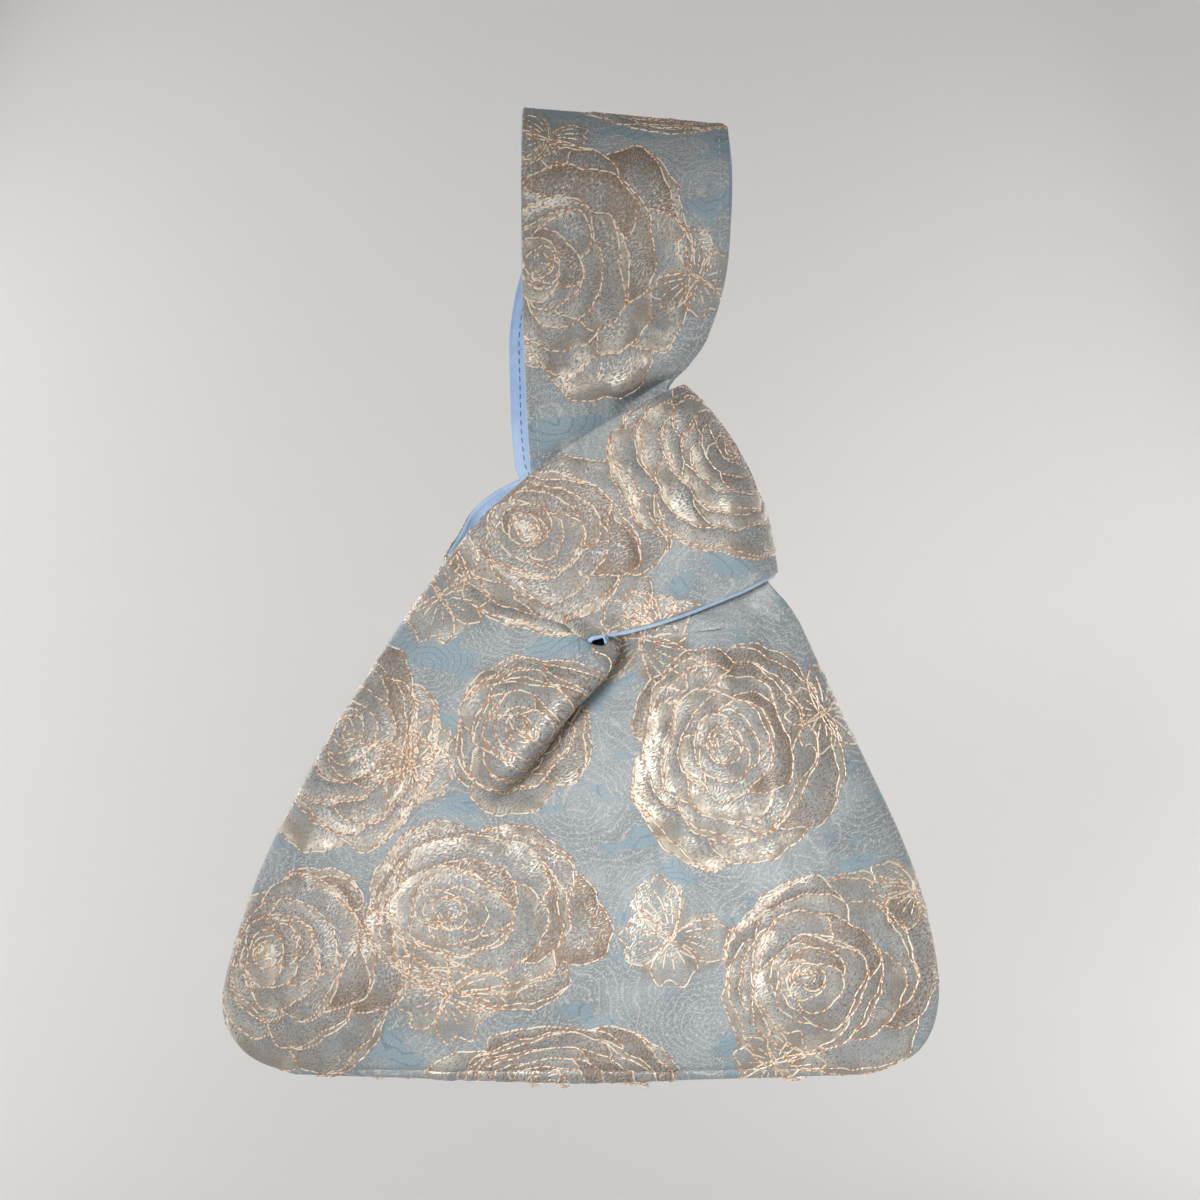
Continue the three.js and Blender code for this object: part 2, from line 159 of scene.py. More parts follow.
def grid_quads(index: np.ndarray) -> np.ndarray:
    """The cells of a grid of vertex numbers, with four numbers for each."""
    corners = (index[:-1, :-1], index[:-1, 1:], index[1:, 1:], index[1:, :-1])
    return np.stack(corners, axis=-1).reshape(-1, 4)


def swept(
    centre: np.ndarray, side: np.ndarray, up: np.ndarray, across: np.ndarray, out: np.ndarray
) -> np.ndarray:
    """A ring of points round each point of a line."""
    return centre[:, None] + side[:, None] * across[..., None] + up[:, None] * out[..., None]


class Waves:
    """Smooth repeatable noise: a sum of sine waves in many directions."""

    def __init__(self, seed: int, scale: float, count: int = 14) -> None:
        """Draws the waves for one seed, about scale millimetres from crest to crest.

        Args:
            seed: Picks the waves.
            scale: Millimetres from crest to crest, about.
            count: How many waves are summed.
        """
        rng = np.random.default_rng(seed)
        direction = unit(rng.normal(size=(count, 2)))
        self.pitch = direction * (2 * math.pi / (scale * rng.uniform(0.6, 1.7, size=(count, 1))))
        self.phase = rng.uniform(0, 2 * math.pi, size=count)

    def __call__(self, p: np.ndarray) -> np.ndarray:
        """Noise of about -1 to 1 at each row of p.

        Args:
            p: Places, one in each row.

        Returns:
            A number for each place.
        """
        total = np.zeros(p.shape[:-1])
        for pitch, phase in zip(self.pitch, self.phase):
            total += np.sin(p @ pitch + phase)
        return total / math.sqrt(len(self.phase))


@dataclass(frozen=True)
class Bend:
    """A cubic curve that leaves one point at a heading and arrives at another at a heading."""

    start: np.ndarray
    leave: float
    out: float
    end: np.ndarray
    arrive: float
    back: float

    def __call__(self, t: np.ndarray) -> np.ndarray:
        """Points at the curve's own parameter, from 0 to 1.

        Args:
            t: Parameters.

        Returns:
            One point for each.
        """
        t = np.asarray(t, dtype=float)[..., None]
        a = self.start + heading(self.leave) * self.out
        b = self.end - heading(self.arrive) * self.back
        s = 1 - t
        return s**3 * self.start + 3 * s * s * t * a + 3 * s * t * t * b + t**3 * self.end


class Joined:
    """Curves end to end, read by their length."""

    def __init__(self, *curves: Bend) -> None:
        """Samples the curves finely enough to read by length.

        Args:
            curves: The curves in order.
        """
        t = np.linspace(0, 1, 400)
        self.points = np.concatenate([curve(t) for curve in curves])
        step = np.linalg.norm(np.diff(self.points, axis=0), axis=1)
        self.share = np.concatenate([[0], np.cumsum(step)]) / step.sum()

    def __call__(self, t: np.ndarray) -> np.ndarray:
        """Points at shares of the whole length."""
        return np.stack([np.interp(t, self.share, self.points[:, k]) for k in (0, 1)], axis=-1)


@dataclass(frozen=True)
class BagSizes:
    """The bag's driving sizes in millimetres, the same as the solids'."""

    brocade: float = 0.8
    lining: float = 0.5
    ply_gap: float = 0.3
    seam_gap: float = 0.3
    base_width: float = 250
    base_shift: float = -15.5
    bag_drop: float = 337
    corner_width: float = 24
    corner_height: float = 30
    body_depth: float = 43
    neck_drop: float = 183
    neck_shift: float = -12.3
    neck_depth: float = 30
    notch_height: float = 3.2
    notch_rise: float = 2.3
    left_slit: tuple[float, float] = (-62, -154)
    right_slit: tuple[float, float] = (60.5, -176)
    band_width: float = 72.7
    band_tilt: float = 26.4
    fold: tuple[float, float] = (36.6, -125.7)
    fold_bow: float = 6.5
    knot_depth: float = 27
    band_swell: float = 3
    handle_width: float = 70.5
    wrist: float = 58
    loop_slope: float = 0.09
    arm_width_in_knot: float = 54
    arm_depth_in_knot: float = 13
    knot_top: tuple[float, float] = (-9, -109.5)
    valley_depth: float = 10
    valley_spread: float = 15
    valley_length: float = 62
    back_fold_share: float = 0.6
    back_slit_bulge: float = 6
    back_arm_shift: float = 6.0
    back_top_shift: float = 3.2


class BagShape:
    """The middle surface of the panels, before the cloth's own creases."""

    row_heights: ClassVar[np.ndarray] = np.array([0, 0.06, 0.21, 0.42, 0.64, 0.83, 0.93, 1])
    row_depths: ClassVar[np.ndarray] = np.array([0, 0.42, 0.78, 0.98, 1.02, 0.92, 0.8])

    def __init__(self, sizes: BagSizes) -> None:
        """Works out the outlines and edges from the sizes.

        Args:
            sizes: The bag's driving sizes.
        """
        s = self.s = sizes
        self.neck_row = len(self.row_heights) - 1
        self.inside = s.ply_gap / 2 + s.lining
        self.seam = s.seam_gap / 2
        self.neck = np.array([s.neck_shift, -s.neck_drop])
        self.notch = self.neck + [0, s.notch_height / 2]
        self.left_slit = np.array(s.left_slit, dtype=float)
        self.right_slit = np.array(s.right_slit, dtype=float)
        self.along = heading(s.band_tilt)
        self.across = heading(s.band_tilt + 90)
        self.fold_radius = s.knot_depth / 2 - self.seam
        self.band_top = Bend(self.left_slit, 52, 26, self.fold_start(1), s.band_tilt - 3, 26)
        self.band_bottom = self.arm_edge(118, (0.1, 1), 2, self.fold_start(-1), s.band_tilt - 4, 18)
        self.arm_right = Bend(self.right_slit, 134, 22, self.knot_end(1), 113, 30)
        self.arm_left = self.arm_edge(50, (0.42, 0.7), 118, self.knot_end(-1), 108, 16)
        self.loop_radius = s.wrist / 2 + self.inside
        self.wrist_drop = s.wrist / 2
        self.arm_depth = s.arm_depth_in_knot / 2
        below = -s.knot_top[1] - self.wrist_drop
        touch = math.acos(self.loop_radius / math.hypot(below, self.arm_depth))
        self.leave = touch - math.atan2(below, self.arm_depth)
        self.leave_depth = self.loop_radius * math.cos(self.leave)
        left = s.base_shift - s.base_width / 2
        right = s.base_shift + s.base_width / 2
        foot = -s.bag_drop + s.corner_height
        left_side = Bend(np.array([left, foot]), 82, 48, self.left_slit, 54, 50)
        right_side = Bend(np.array([right, foot]), 92, 44, self.right_slit, 114, 68)
        self.outline = {
            Arm.SHORT: self.side_outline(left, 1, left_side([0, 0.26, 0.48, 0.68, 0.86, 1])),
            Arm.LONG: self.side_outline(right, -1, right_side([0, 0.24, 0.46, 0.67, 0.86, 1])),
        }
        self.middle = np.stack(
            [
                s.base_shift + (s.neck_shift - s.base_shift) * self.row_heights,
                -s.bag_drop + (s.bag_drop - s.neck_drop) * self.row_heights,
            ],
            axis=-1,
        )
        self.depths = np.append(self.row_depths * s.body_depth / 2, s.neck_depth / 2)

    def rows(self, arm: Arm) -> int:
        """The row where an arm starts to turn at the end of its loop."""
        return self.neck_row + (1 if arm is Arm.SHORT else 2)

    def fold_start(self, side: int) -> np.ndarray:
        """Where an edge of the band meets the fold, at the top for side 1 and at the bottom for -1."""
        s = self.s
        return np.array(s.fold) + self.across * side * s.band_width / 2 - self.along * self.fold_radius

    def knot_end(self, side: int) -> np.ndarray:
        """Where an edge of the long arm leaves the knot, on the right for side 1."""
        return np.array(self.s.knot_top) + heading(28) * side * self.s.arm_width_in_knot / 2

    def arm_edge(
        self,
        start: float,
        share: tuple[float, float],
        leave: float,
        end: np.ndarray,
        arrive: float,
        reach: float,
    ) -> Joined:
        """The edge of an arm from the neckline's lowest point, round the small notch there.

        Args:
            start: Heading at the lowest point.
            share: End of the notch's side, in notch heights.
            leave: Heading at that end.
            end: The edge's far end.
            arrive: Heading there.
            reach: How far the curve holds its headings.

        Returns:
            The whole edge.
        """
        h = self.s.notch_height
        notch_end = self.neck + np.array(share) * h
        return Joined(
            Bend(self.neck, start, h / 2, notch_end, leave, h / 2),
            Bend(notch_end, leave, reach, end, arrive, reach),
        )

    def side_outline(self, x: float, inwards: int, side: np.ndarray) -> np.ndarray:
        """Key points up one side of the body, from the bottom seam round the corner to the slit.

        Args:
            x: Where the side stands at the bottom.
            inwards: 1 or -1, the way to the middle.
            side: Points from the corner to the slit.

        Returns:
            All the key points, from the bottom up.
        """
        s = self.s
        corner = [
            [x + inwards * s.corner_width, -s.bag_drop + 3],
            [x + inwards * s.corner_width * 0.27, -s.bag_drop + s.corner_height * 0.38],
        ]
        return np.concatenate([corner, side])

    def wrist_edge(self, side: int) -> np.ndarray:
        """Where an edge of the long loop meets the round of the wrist.

        Args:
            side: 1 for the right edge, -1 for the left.

        Returns:
            The point, seen from the front.
        """
        x = side * self.s.handle_width / 2
        z = -self.wrist_drop + self.loop_radius * math.sin(self.leave) - self.s.loop_slope * x
        return np.array([x, z])

    def handle(self, side: int, share: np.ndarray) -> np.ndarray:
        """An edge of the long loop, from the knot at 0 to the wrist at 1.

        Args:
            side: 1 for the right edge, -1 for the left.
            share: Places along it.

        Returns:
            One point for each place.
        """
        start, end = self.knot_end(side), self.wrist_edge(side)
        share = np.clip(share, 0, 1)
        x = start[0] + (end[0] - start[0]) * (1 - (1 - share) ** 2.2)
        return np.stack([x, start[1] + (end[1] - start[1]) * share], axis=-1)

    def edges(self, arm: Arm, row: np.ndarray, share: np.ndarray) -> tuple[np.ndarray, ...]:
        """Outer edge, inner edge and their depths at each row.

        Args:
            arm: Which half of the panel.
            row: Rows from the bottom seam.
            share: How far each row is past the neckline.

        Returns:
            Outer points, inner points, outer depths, inner depths, how round the section is, and its crown.
        """
        s = self.s
        body = row <= self.neck_row
        first = np.clip(share, 0, 1)
        second = np.clip(share - 1, 0, 1)
        middle = np.where(row < 1, self.depths[1] * np.sqrt(np.clip(row, 0, 1)), through(self.depths, row))
        if arm is Arm.SHORT:
            outer, inner = self.band_top(first), self.band_bottom(first)
            outer_depth = self.fold_radius * eased(first / 0.5)
            inner_depth = s.neck_depth / 2 + (self.fold_radius - s.neck_depth / 2) * smoothstep(first, 0, 0.4)
            inner_depth = inner_depth + s.band_swell * np.sin(math.pi * first)
            crown = 2 * np.sin(math.pi * first)
        else:
            above = (share > 1)[..., None]
            outer = np.where(above, self.handle(1, second), self.arm_right(first))
            inner = np.where(above, self.handle(-1, second), self.arm_left(first))
            rise = self.arm_depth + (self.leave_depth - self.arm_depth) * second
            outer_depth = np.where(share > 1, rise, self.arm_depth * eased(first / 0.6))
            lower = s.neck_depth / 2 + (self.arm_depth - s.neck_depth / 2) * smoothstep(first, 0, 0.3)
            inner_depth = np.where(share > 1, rise, lower)
            crown = 1.2 * np.sin(math.pi * first)
        b = body[..., None]
        outer = np.where(b, through(self.outline[arm], np.minimum(row, self.neck_row)), outer)
        inner = np.where(b, through(self.middle, np.minimum(row, self.neck_row)), inner)
        outer_depth = np.where(body, 0, outer_depth)
        inner_depth = np.where(body, middle, inner_depth)
        sewn = np.where(
            body,
            1 - 0.4 * smoothstep(row, self.neck_row - 1, self.neck_row),
            0.6 * (1 - smoothstep(share, 0, 0.4)),
        )
        return outer, inner, outer_depth, inner_depth, sewn, np.where(body, 0, crown)

    def valley(self, flat: np.ndarray, share: np.ndarray, arm: Arm) -> np.ndarray:
        """How far the hollow under the band pushes each point in.

        Args:
            flat: Points in the plane of the front view.
            share: How far each is past the neckline.
            arm: Which half of the panel.

        Returns:
            Millimetres inwards.
        """
        s = self.s
        d = flat - self.neck
        below = -d[..., 1] / s.valley_length
        spread = s.valley_spread * (1 - 0.45 * np.clip(below, 0, 1))
        beside = (d[..., 0] - s.valley_spread * (1.1 - 1.3 * below)) / spread
        stay = 1 - smoothstep(share, 0, 0.2 if arm is Arm.SHORT else 0.35)
        fade = smoothstep(1 - below, 0, 1) * smoothstep(below, -0.5, 0)
        return s.valley_depth * fade * np.exp(-(beside**2)) * stay

    def notch_push(self, flat: np.ndarray, arm: Arm) -> np.ndarray:
        """How far the two sides of the notch part, the short arm outwards and the long arm inwards.

        Args:
            flat: Points in the plane of the front view.
            arm: Which half of the panel.

        Returns:
            Millimetres outwards.
        """
        d = flat - self.notch
        reach = np.linalg.norm(d, axis=-1)
        sign = 1 if arm is Arm.SHORT else -1
        turned = np.arctan2(-sign * d[..., 0], -d[..., 1])
        swept = np.where(turned < -0.2, turned + 2 * math.pi, turned) / math.pi
        fall = np.exp(-reach / (4 * self.s.notch_height))
        return sign * self.s.notch_rise * np.maximum(0, swept) * fall

    def place(self, side: Side, arm: Arm, u: np.ndarray, a: np.ndarray) -> tuple[np.ndarray, np.ndarray]:
        """Points of a panel's middle surface.

        Args:
            side: Front or back panel.
            arm: Which half of it.
            u: Rows from the bottom seam, and past the last one the share of the loop's turn.
            a: From the outer edge, 0, to the inner edge, 1.

        Returns:
            Points in space, and the same points on the flat cloth, all in millimetres.
        """
        s = self.s
        rows = self.rows(arm)
        row = np.minimum(u, rows)
        share = np.maximum(0, row - self.neck_row)
        outer, inner, outer_depth, inner_depth, sewn, crown = self.edges(arm, row, share)
        rise = sewn * np.sqrt(np.maximum(0, 1 - (1 - a) ** 2.5)) + (1 - sewn) * a
        flat = outer + (inner - outer) * a[..., None]
        free = smoothstep(a, 0, 0.35) * np.minimum(1, 2 * inner_depth / s.body_depth)
        depth = outer_depth + (inner_depth - outer_depth) * rise + crown * 4 * a * (1 - a)
        folds = s.back_fold_share if side is Side.BACK else 1.0
        depth = depth - self.valley(flat, share, arm) * folds * free + self.notch_push(flat, arm)
        depth = self.seam + np.maximum(0, depth)
        turn = np.maximum(0, u - rows)
        cloth = flat.copy()
        x, z, y = flat[..., 0].copy(), flat[..., 1].copy(), depth
        if arm is Arm.LONG:
            angle = self.leave + (math.pi / 2 - self.leave) * turn
            top = -self.wrist_drop + self.loop_radius * np.sin(angle) - s.loop_slope * x
            z = np.where(turn > 0, top, z)
            y = np.where(turn > 0, self.seam + self.loop_radius * np.cos(angle), y)
            cloth[..., 1] += self.loop_radius * (angle - self.leave)
        else:
            bow = s.fold_bow * smoothstep(share, 0.45, 1) * 4 * a * (1 - a)
            angle = turn * math.pi / 2
            shift = bow + (y - self.seam) * np.sin(angle)
            cloth += self.along * (bow + (y - self.seam) * angle)[..., None]
            x, z = x + self.along[0] * shift, z + self.along[1] * shift
            y = self.seam + (y - self.seam) * np.cos(angle)
        if side is Side.BACK and arm is Arm.SHORT:
            out = np.exp(-(((u - self.neck_row - 0.25) / 0.2) ** 2)) * (1 - a) ** 2 * s.back_slit_bulge
            x, z = x - out * self.across[1] * 0.7, z + out * 0.7
        if side is Side.BACK and arm is Arm.LONG:
            hang = smoothstep(u, self.neck_row + 0.4, self.neck_row + 1.2) * smoothstep(rows - u, 0, 0.5)
            top = np.sin(math.pi * np.clip(u - rows + 0.25, 0, 1.25) * 0.8)
            x = x + top * s.back_top_shift - hang * s.back_arm_shift
        return np.stack([x, y * side.value, z], axis=-1), cloth


@dataclass
class Field:
    """What the figures do to the cloth at each of its points."""

    gold: np.ndarray
    copper: np.ndarray
    puff: np.ndarray

    @classmethod
    def blank(cls, count: int) -> "Field":
        """Plain cloth."""
        return cls(*(np.zeros(count) for _ in range(3)))


@dataclass(frozen=True)
class Petal:
    """One petal: its middle, the way it faces, its reach along and across that way, and its ragged rim."""

    middle: np.ndarray
    faces: float
    along: float
    across: float
    rag: float
    phase: float
    level: float
    curl: float

    def rim(self, turn: np.ndarray) -> np.ndarray:
        """Distance of the rim from the petal's middle at each turn from the way it faces.

        Args:
            turn: Angles in radians.

        Returns:
            Distances in millimetres.
        """
        power = 2.3
        oval = (np.abs(np.cos(turn)) / self.along) ** power + (np.abs(np.sin(turn)) / self.across) ** power
        ruffle = np.sin(3.1 * turn + self.phase) + 0.8 * np.sin(6.7 * turn + 2.3 * self.phase)
        return oval ** (-1 / power) * (1 + self.rag * (ruffle + 0.5 * np.sin(13 * turn + self.phase)))

    def depth(self, p: np.ndarray) -> tuple[np.ndarray, np.ndarray]:
        """How far inside the rim each place is, and its turn from the way the petal faces.

        Args:
            p: Places in the rose's own measure.

        Returns:
            Millimetres inside the rim, below 0 outside it, and radians.
        """
        d = p - self.middle
        turn = (np.arctan2(d[..., 1], d[..., 0]) - self.faces + math.pi) % (2 * math.pi) - math.pi
        return self.rim(turn) - np.hypot(d[..., 0], d[..., 1]), turn

    def rolled(self, turn: np.ndarray) -> np.ndarray:
        """Share of the way in from the rim that is rolled back at each turn."""
        return self.curl * np.cos(np.clip(turn * 1.25, -1.57, 1.57)) ** 2

    def line(self, turn: np.ndarray, share: np.ndarray) -> np.ndarray:
        """Places at turns round the petal, at a share of the way to the rim.

        Args:
            turn: Angles in radians.
            share: For each, 0 at the petal's middle and 1 on its rim.

        Returns:
            The places in the rose's own measure.
        """
        way = turn + self.faces
        r = (self.rim(turn) * share)[..., None]
        return self.middle + r * np.stack([np.cos(way), np.sin(way)], axis=-1)


@dataclass(frozen=True)
class Rose:
    """An open rose seen from above, its rings of petals laid round a heart that lies to one side."""

    x: float
    z: float
    size: float
    turn: float = 0.0
    tall: float = 1.0
    lean: float = 0.2
    lean_to: float = 20.0
    seed: int = 1

    # For each ring its petals, how far out they lie, their reach along and across, and how ragged they are
    rings: ClassVar[tuple[tuple[int, float, float, float, float], ...]] = (
        (5, 0.58, 0.44, 0.58, 0.034),
        (5, 0.43, 0.38, 0.52, 0.034),
        (4, 0.29, 0.33, 0.45, 0.030),
        (4, 0.19, 0.25, 0.34, 0.026),
        (3, 0.11, 0.19, 0.25, 0.024),
        (3, 0.05, 0.12, 0.15, 0.026),
    )
    shadow: ClassVar[float] = 1.7  # how far a petal's shadow reaches over the one below, in millimetres
    fade: ClassVar[float] = 0.19  # how far in from its rim a petal's bright thread runs, in sizes of the rose
    heart_turns: ClassVar[int] = 7

    def petals(self) -> list[Petal]:
        """The petals from the outermost in, in the rose's own measure.

        Returns:
            The petals, each over the ones before it.
        """
        rng = np.random.default_rng(self.seed)
        heart = self.heart()
        made = []
        for ring, (count, away, along, across, rag) in enumerate(self.rings):
            start = rng.uniform(0, 360)
            level = ring / (len(self.rings) - 1)
            for k in range(count):
                angle = math.radians(start + 360 * k / count + rng.uniform(-14, 14))
                out = self.size * away * rng.uniform(0.92, 1.06)
                at = heart * level**0.7 + out * heading(math.degrees(angle))
                reach = self.size * along * rng.uniform(0.86, 1.10)
                wide = self.size * across * rng.uniform(0.80, 1.16)
                faces = angle + rng.uniform(-0.32, 0.32)
                curl = rng.uniform(0.16, 0.26) if rng.uniform() < 0.6 and level < 0.7 else 0.0
                made.append(Petal(at, faces, reach, wide, rag, rng.uniform(0, 6), level, curl))
        return made

    def heart(self) -> np.ndarray:
        """The heart's place in the rose's own measure."""
        return turned(-heading(self.lean_to) * self.size * self.lean, -self.turn) / [1, self.tall]

    def local(self, p: np.ndarray) -> np.ndarray:
        """Places of the flat cloth in the rose's own measure."""
        return turned(p - [self.x, self.z], -self.turn) / [1, self.tall]

    def back(self, q: np.ndarray) -> np.ndarray:
        """Places of the rose's own measure on the flat cloth."""
        return turned(q * [1, self.tall], self.turn) + [self.x, self.z]

    def paint(self, p: np.ndarray, cloth: Field) -> None:
        """Adds the rose to a field at places p of the flat cloth.

        Args:
            p: Places on the flat cloth.
            cloth: The field, one value for each place.
        """
        near = np.flatnonzero(np.linalg.norm(p - [self.x, self.z], axis=-1) < self.size * 1.35)
        if not len(near):
            return
        q = self.local(p[near])
        depth = np.full(len(near), -1.0)
        way, level, tone, curl, under = (np.zeros(len(near)) for _ in range(5))
        dim = math.radians(40 - self.turn)
        rng = np.random.default_rng(self.seed + 77)
        for petal in self.petals():
            inside, turn = petal.depth(q)
            hit = inside > 0
            own = np.clip(rng.uniform(-0.7, 0.7) + 0.6 * math.cos(petal.faces - dim), -1, 1)
            rolled = inside < petal.rim(turn) * petal.rolled(turn)
            depth[hit], way[hit], curl[hit] = inside[hit], turn[hit], rolled[hit]
            level[hit], tone[hit] = petal.level, own
            # Painted shadow: how close each place lies to the rim of a petal laid over it.
            under = np.where(hit, 0, np.maximum(under, np.exp(np.minimum(inside, 0) / self.shadow)))
        on = depth >= 0
        e, spot = depth[on], near[on]
        fall = np.exp(-((e / (self.fade * self.size)) ** 1.6))
        lit, dull = np.maximum(-tone[on], 0), np.maximum(tone[on], 0)
        gold = 0.34 + 0.08 * lit + (0.26 + 0.14 * lit - 0.16 * dull) * fall * (1 - 0.35 * level[on])
        gold = np.where(curl[on] > 0, np.maximum(gold, 0.66), gold)
        copper = 0.16 + (0.46 * dull + 0.16) * np.sqrt(fall) * (1 - 0.4 * level[on]) - 0.06 * lit
        # deep is partly painted shadow under the petal above and partly the blue-grey base of the petal
        # below: it takes gold away, adds copper and sinks the puff.
        deep = under[on]
        cloth.gold[spot] = np.clip(gold - 0.26 * deep, 0.06, 1)
        cloth.copper[spot] = np.clip(np.where(curl[on] > 0, 0.25, copper) + 0.22 * deep, 0.02, 1)
        bulge = (1 - np.exp(-e / 1.8)) * (0.75 + 0.25 * np.cos(way[on] * 1.4))
        cloth.puff[spot] = 0.12 + 0.80 * bulge - 0.12 * (curl[on] > 0) - 0.22 * deep

    def outlines(self) -> list[np.ndarray]:
        """The rims of the petals that show, as lines on the flat cloth.

        Returns:
            One array of points for each line.
        """
        lines = []
        petals = self.petals()
        for k, petal in enumerate(petals):
            turn = np.linspace(-2.9, 2.9, 150)
            kinds = [np.ones(len(turn))]
            if petal.curl:
                kinds.append(1 - petal.rolled(turn))
            for kind in kinds:
                line = petal.line(turn, kind)
                shown = np.ones(len(turn), dtype=bool)
                for later in petals[k + 1 :]:
                    shown &= later.depth(line)[0] < 0.15
                if kind is not kinds[0]:
                    shown &= kind < 0.985
                lines += split(self.back(line), shown)
        rng = np.random.default_rng(self.seed + 5)
        for k in range(self.heart_turns):
            at, arc = rng.uniform(0, 2 * math.pi), rng.uniform(0.9, 2.2)
            theta = at + np.linspace(0, arc, 14)
            r = self.size * (0.025 + 0.018 * k) * (1 + 0.25 * np.sin(3 * theta))
            curve = r[:, None] * np.stack([np.cos(theta), np.sin(theta)], axis=-1)
            lines.append(self.back(self.heart() + curve))
        return lines


def split(points: np.ndarray, keep: np.ndarray) -> list[np.ndarray]:
    """The runs of a line's points that are kept, those of three points or more.

    Args:
        points: The line.
        keep: Which of its points are kept.

    Returns:
        One array for each run.
    """
    runs = []
    at = np.flatnonzero(np.diff(np.concatenate([[0], keep.astype(int), [0]])))
    for start, end in zip(at[::2], at[1::2]):
        if end - start >= 3:
            runs.append(points[start:end])
    return runs


@dataclass(frozen=True)
class Butterfly:
    """A butterfly in outline, with veined wings."""

    x: float
    z: float
    size: float
    turn: float = 0.0

    # Each pair of wings: its angle, its reach and the half width of its outline and of its gold
    pairs: ClassVar[tuple[tuple[float, float, float, float], ...]] = (
        (36, 1.0, 0.48, 0.46),
        (-42, 0.74, 0.52, 0.50),
    )

    def to_cloth(self, q: np.ndarray) -> np.ndarray:
        """Places on the flat cloth of points in the butterfly's own measure."""
        return turned(q * self.size, self.turn) + [self.x, self.z]

    def wings(self) -> list[np.ndarray]:
        """Closed outlines of the four wings.

        Returns:
            The outlines, with the wings' reach as 1.
        """
        made = []
        for sign in (-1, 1):
            for (angle, reach, wide, _), notch in zip(self.pairs, (0.09, 0.12)):
                t = np.linspace(0, 2 * math.pi, 60)
                along = 0.5 * (1 - np.cos(t)) * reach
                across = np.sin(t) * wide * (0.35 + 0.65 * along / reach)
                along = along * (1 + notch * np.sin(7 * t) * (along / reach) ** 2)
                made.append(turned(np.stack([along, across], axis=-1), angle) * [sign, 1])
        return made

    def paint(self, p: np.ndarray, cloth: Field) -> None:
        """Adds the butterfly to a field at places p of the flat cloth.

        Args:
            p: Places on the flat cloth.
            cloth: The field, one value for each place.
        """
        d = p - [self.x, self.z]
        near = np.flatnonzero(np.linalg.norm(d, axis=-1) < self.size * 1.2)
        q = turned(d[near], -self.turn) / self.size
        q[:, 0] = np.abs(q[:, 0])
        for angle, reach, _, wide in self.pairs:
            along, across = (turned(q, -angle) / [reach, wide]).T
            inside = np.clip(1 - ((along - 0.55) / 0.5) ** 2 - across**2, 0, 1)
            spot = near[inside > 0]
            cloth.gold[spot] = np.maximum(cloth.gold[spot], 0.42 + 0.20 * np.abs(across[inside > 0]))
            cloth.puff[spot] = np.maximum(cloth.puff[spot], 0.3 * inside[inside > 0])

    def outlines(self) -> list[np.ndarray]:
        """Wing rims, veins, body and feelers, as lines on the flat cloth.

        Returns:
            One array of points for each line.
        """
        lines = [self.to_cloth(w) for w in self.wings()]
        for sign in (-1, 1):
            for angle, reach, spread in ((36, 0.9, 30), (-42, 0.62, 40)):
                for k in range(5):
                    turn = math.radians(angle + spread * (k / 2 - 1))
                    r = np.linspace(0.26, reach * (0.92 - 0.07 * abs(k - 2)), 14)
                    bow = 0.05 * np.sin(r * 4)
                    vein = np.stack([sign * (r * math.cos(turn) - bow), r * math.sin(turn) + bow], axis=-1)
                    lines.append(self.to_cloth(vein))
            feeler = np.linspace(0, 1, 12)
            feeler = np.stack([sign * (0.04 + 0.16 * feeler**2), 0.2 + 0.34 * feeler], axis=-1)
            lines.append(self.to_cloth(feeler))
        body = np.linspace(-1, 1, 16)
        for wide in (-0.045, 0.045):
            lines.append(self.to_cloth(np.stack([wide * (1 - body**2), 0.24 * body], axis=-1)))
        return lines


Figure = Rose | Butterfly

BODY_FIGURES: tuple[Figure, ...] = (
    Rose(-110, -298, 37, turn=62, tall=0.86, lean=0.42, lean_to=-28, seed=3),
    Rose(-48, -278, 42, turn=-8, tall=0.78, lean=0.33, lean_to=-10, seed=5),
    Rose(37, -221, 40, turn=100, tall=0.93, lean=0.10, lean_to=-40, seed=8),
    Rose(73, -297, 39, turn=20, tall=0.95, lean=0.28, lean_to=15, seed=11),
    Rose(-23, -336, 43, turn=0, tall=0.46, lean=0.10, lean_to=0, seed=13),
    Rose(-97, -219, 38, turn=68, tall=0.86, lean=0.15, lean_to=-100, seed=17),
    Butterfly(15, -285, 21, turn=-38),
    Butterfly(-73, -226, 18, turn=24),
    Butterfly(-62, -306, 21, turn=-24),
    Butterfly(68, -208, 17, turn=-60),
    Butterfly(101, -270, 17, turn=12),
    Butterfly(52, -329, 18, turn=200),
    Butterfly(6, -181, 22, turn=170),
)
PLEAT_ROSE = Rose(-36, -214, 28, turn=48, tall=0.86, lean=0.1, lean_to=-60, seed=19)
BACK_LOW_ROSE = Rose(-24, -304, 40, turn=-30, tall=0.84, lean_to=180, seed=47)
BACK_MIDDLE_ROSE = Rose(-22, -228, 36, turn=15, tall=0.9, lean=0.3, lean_to=-30, seed=59)

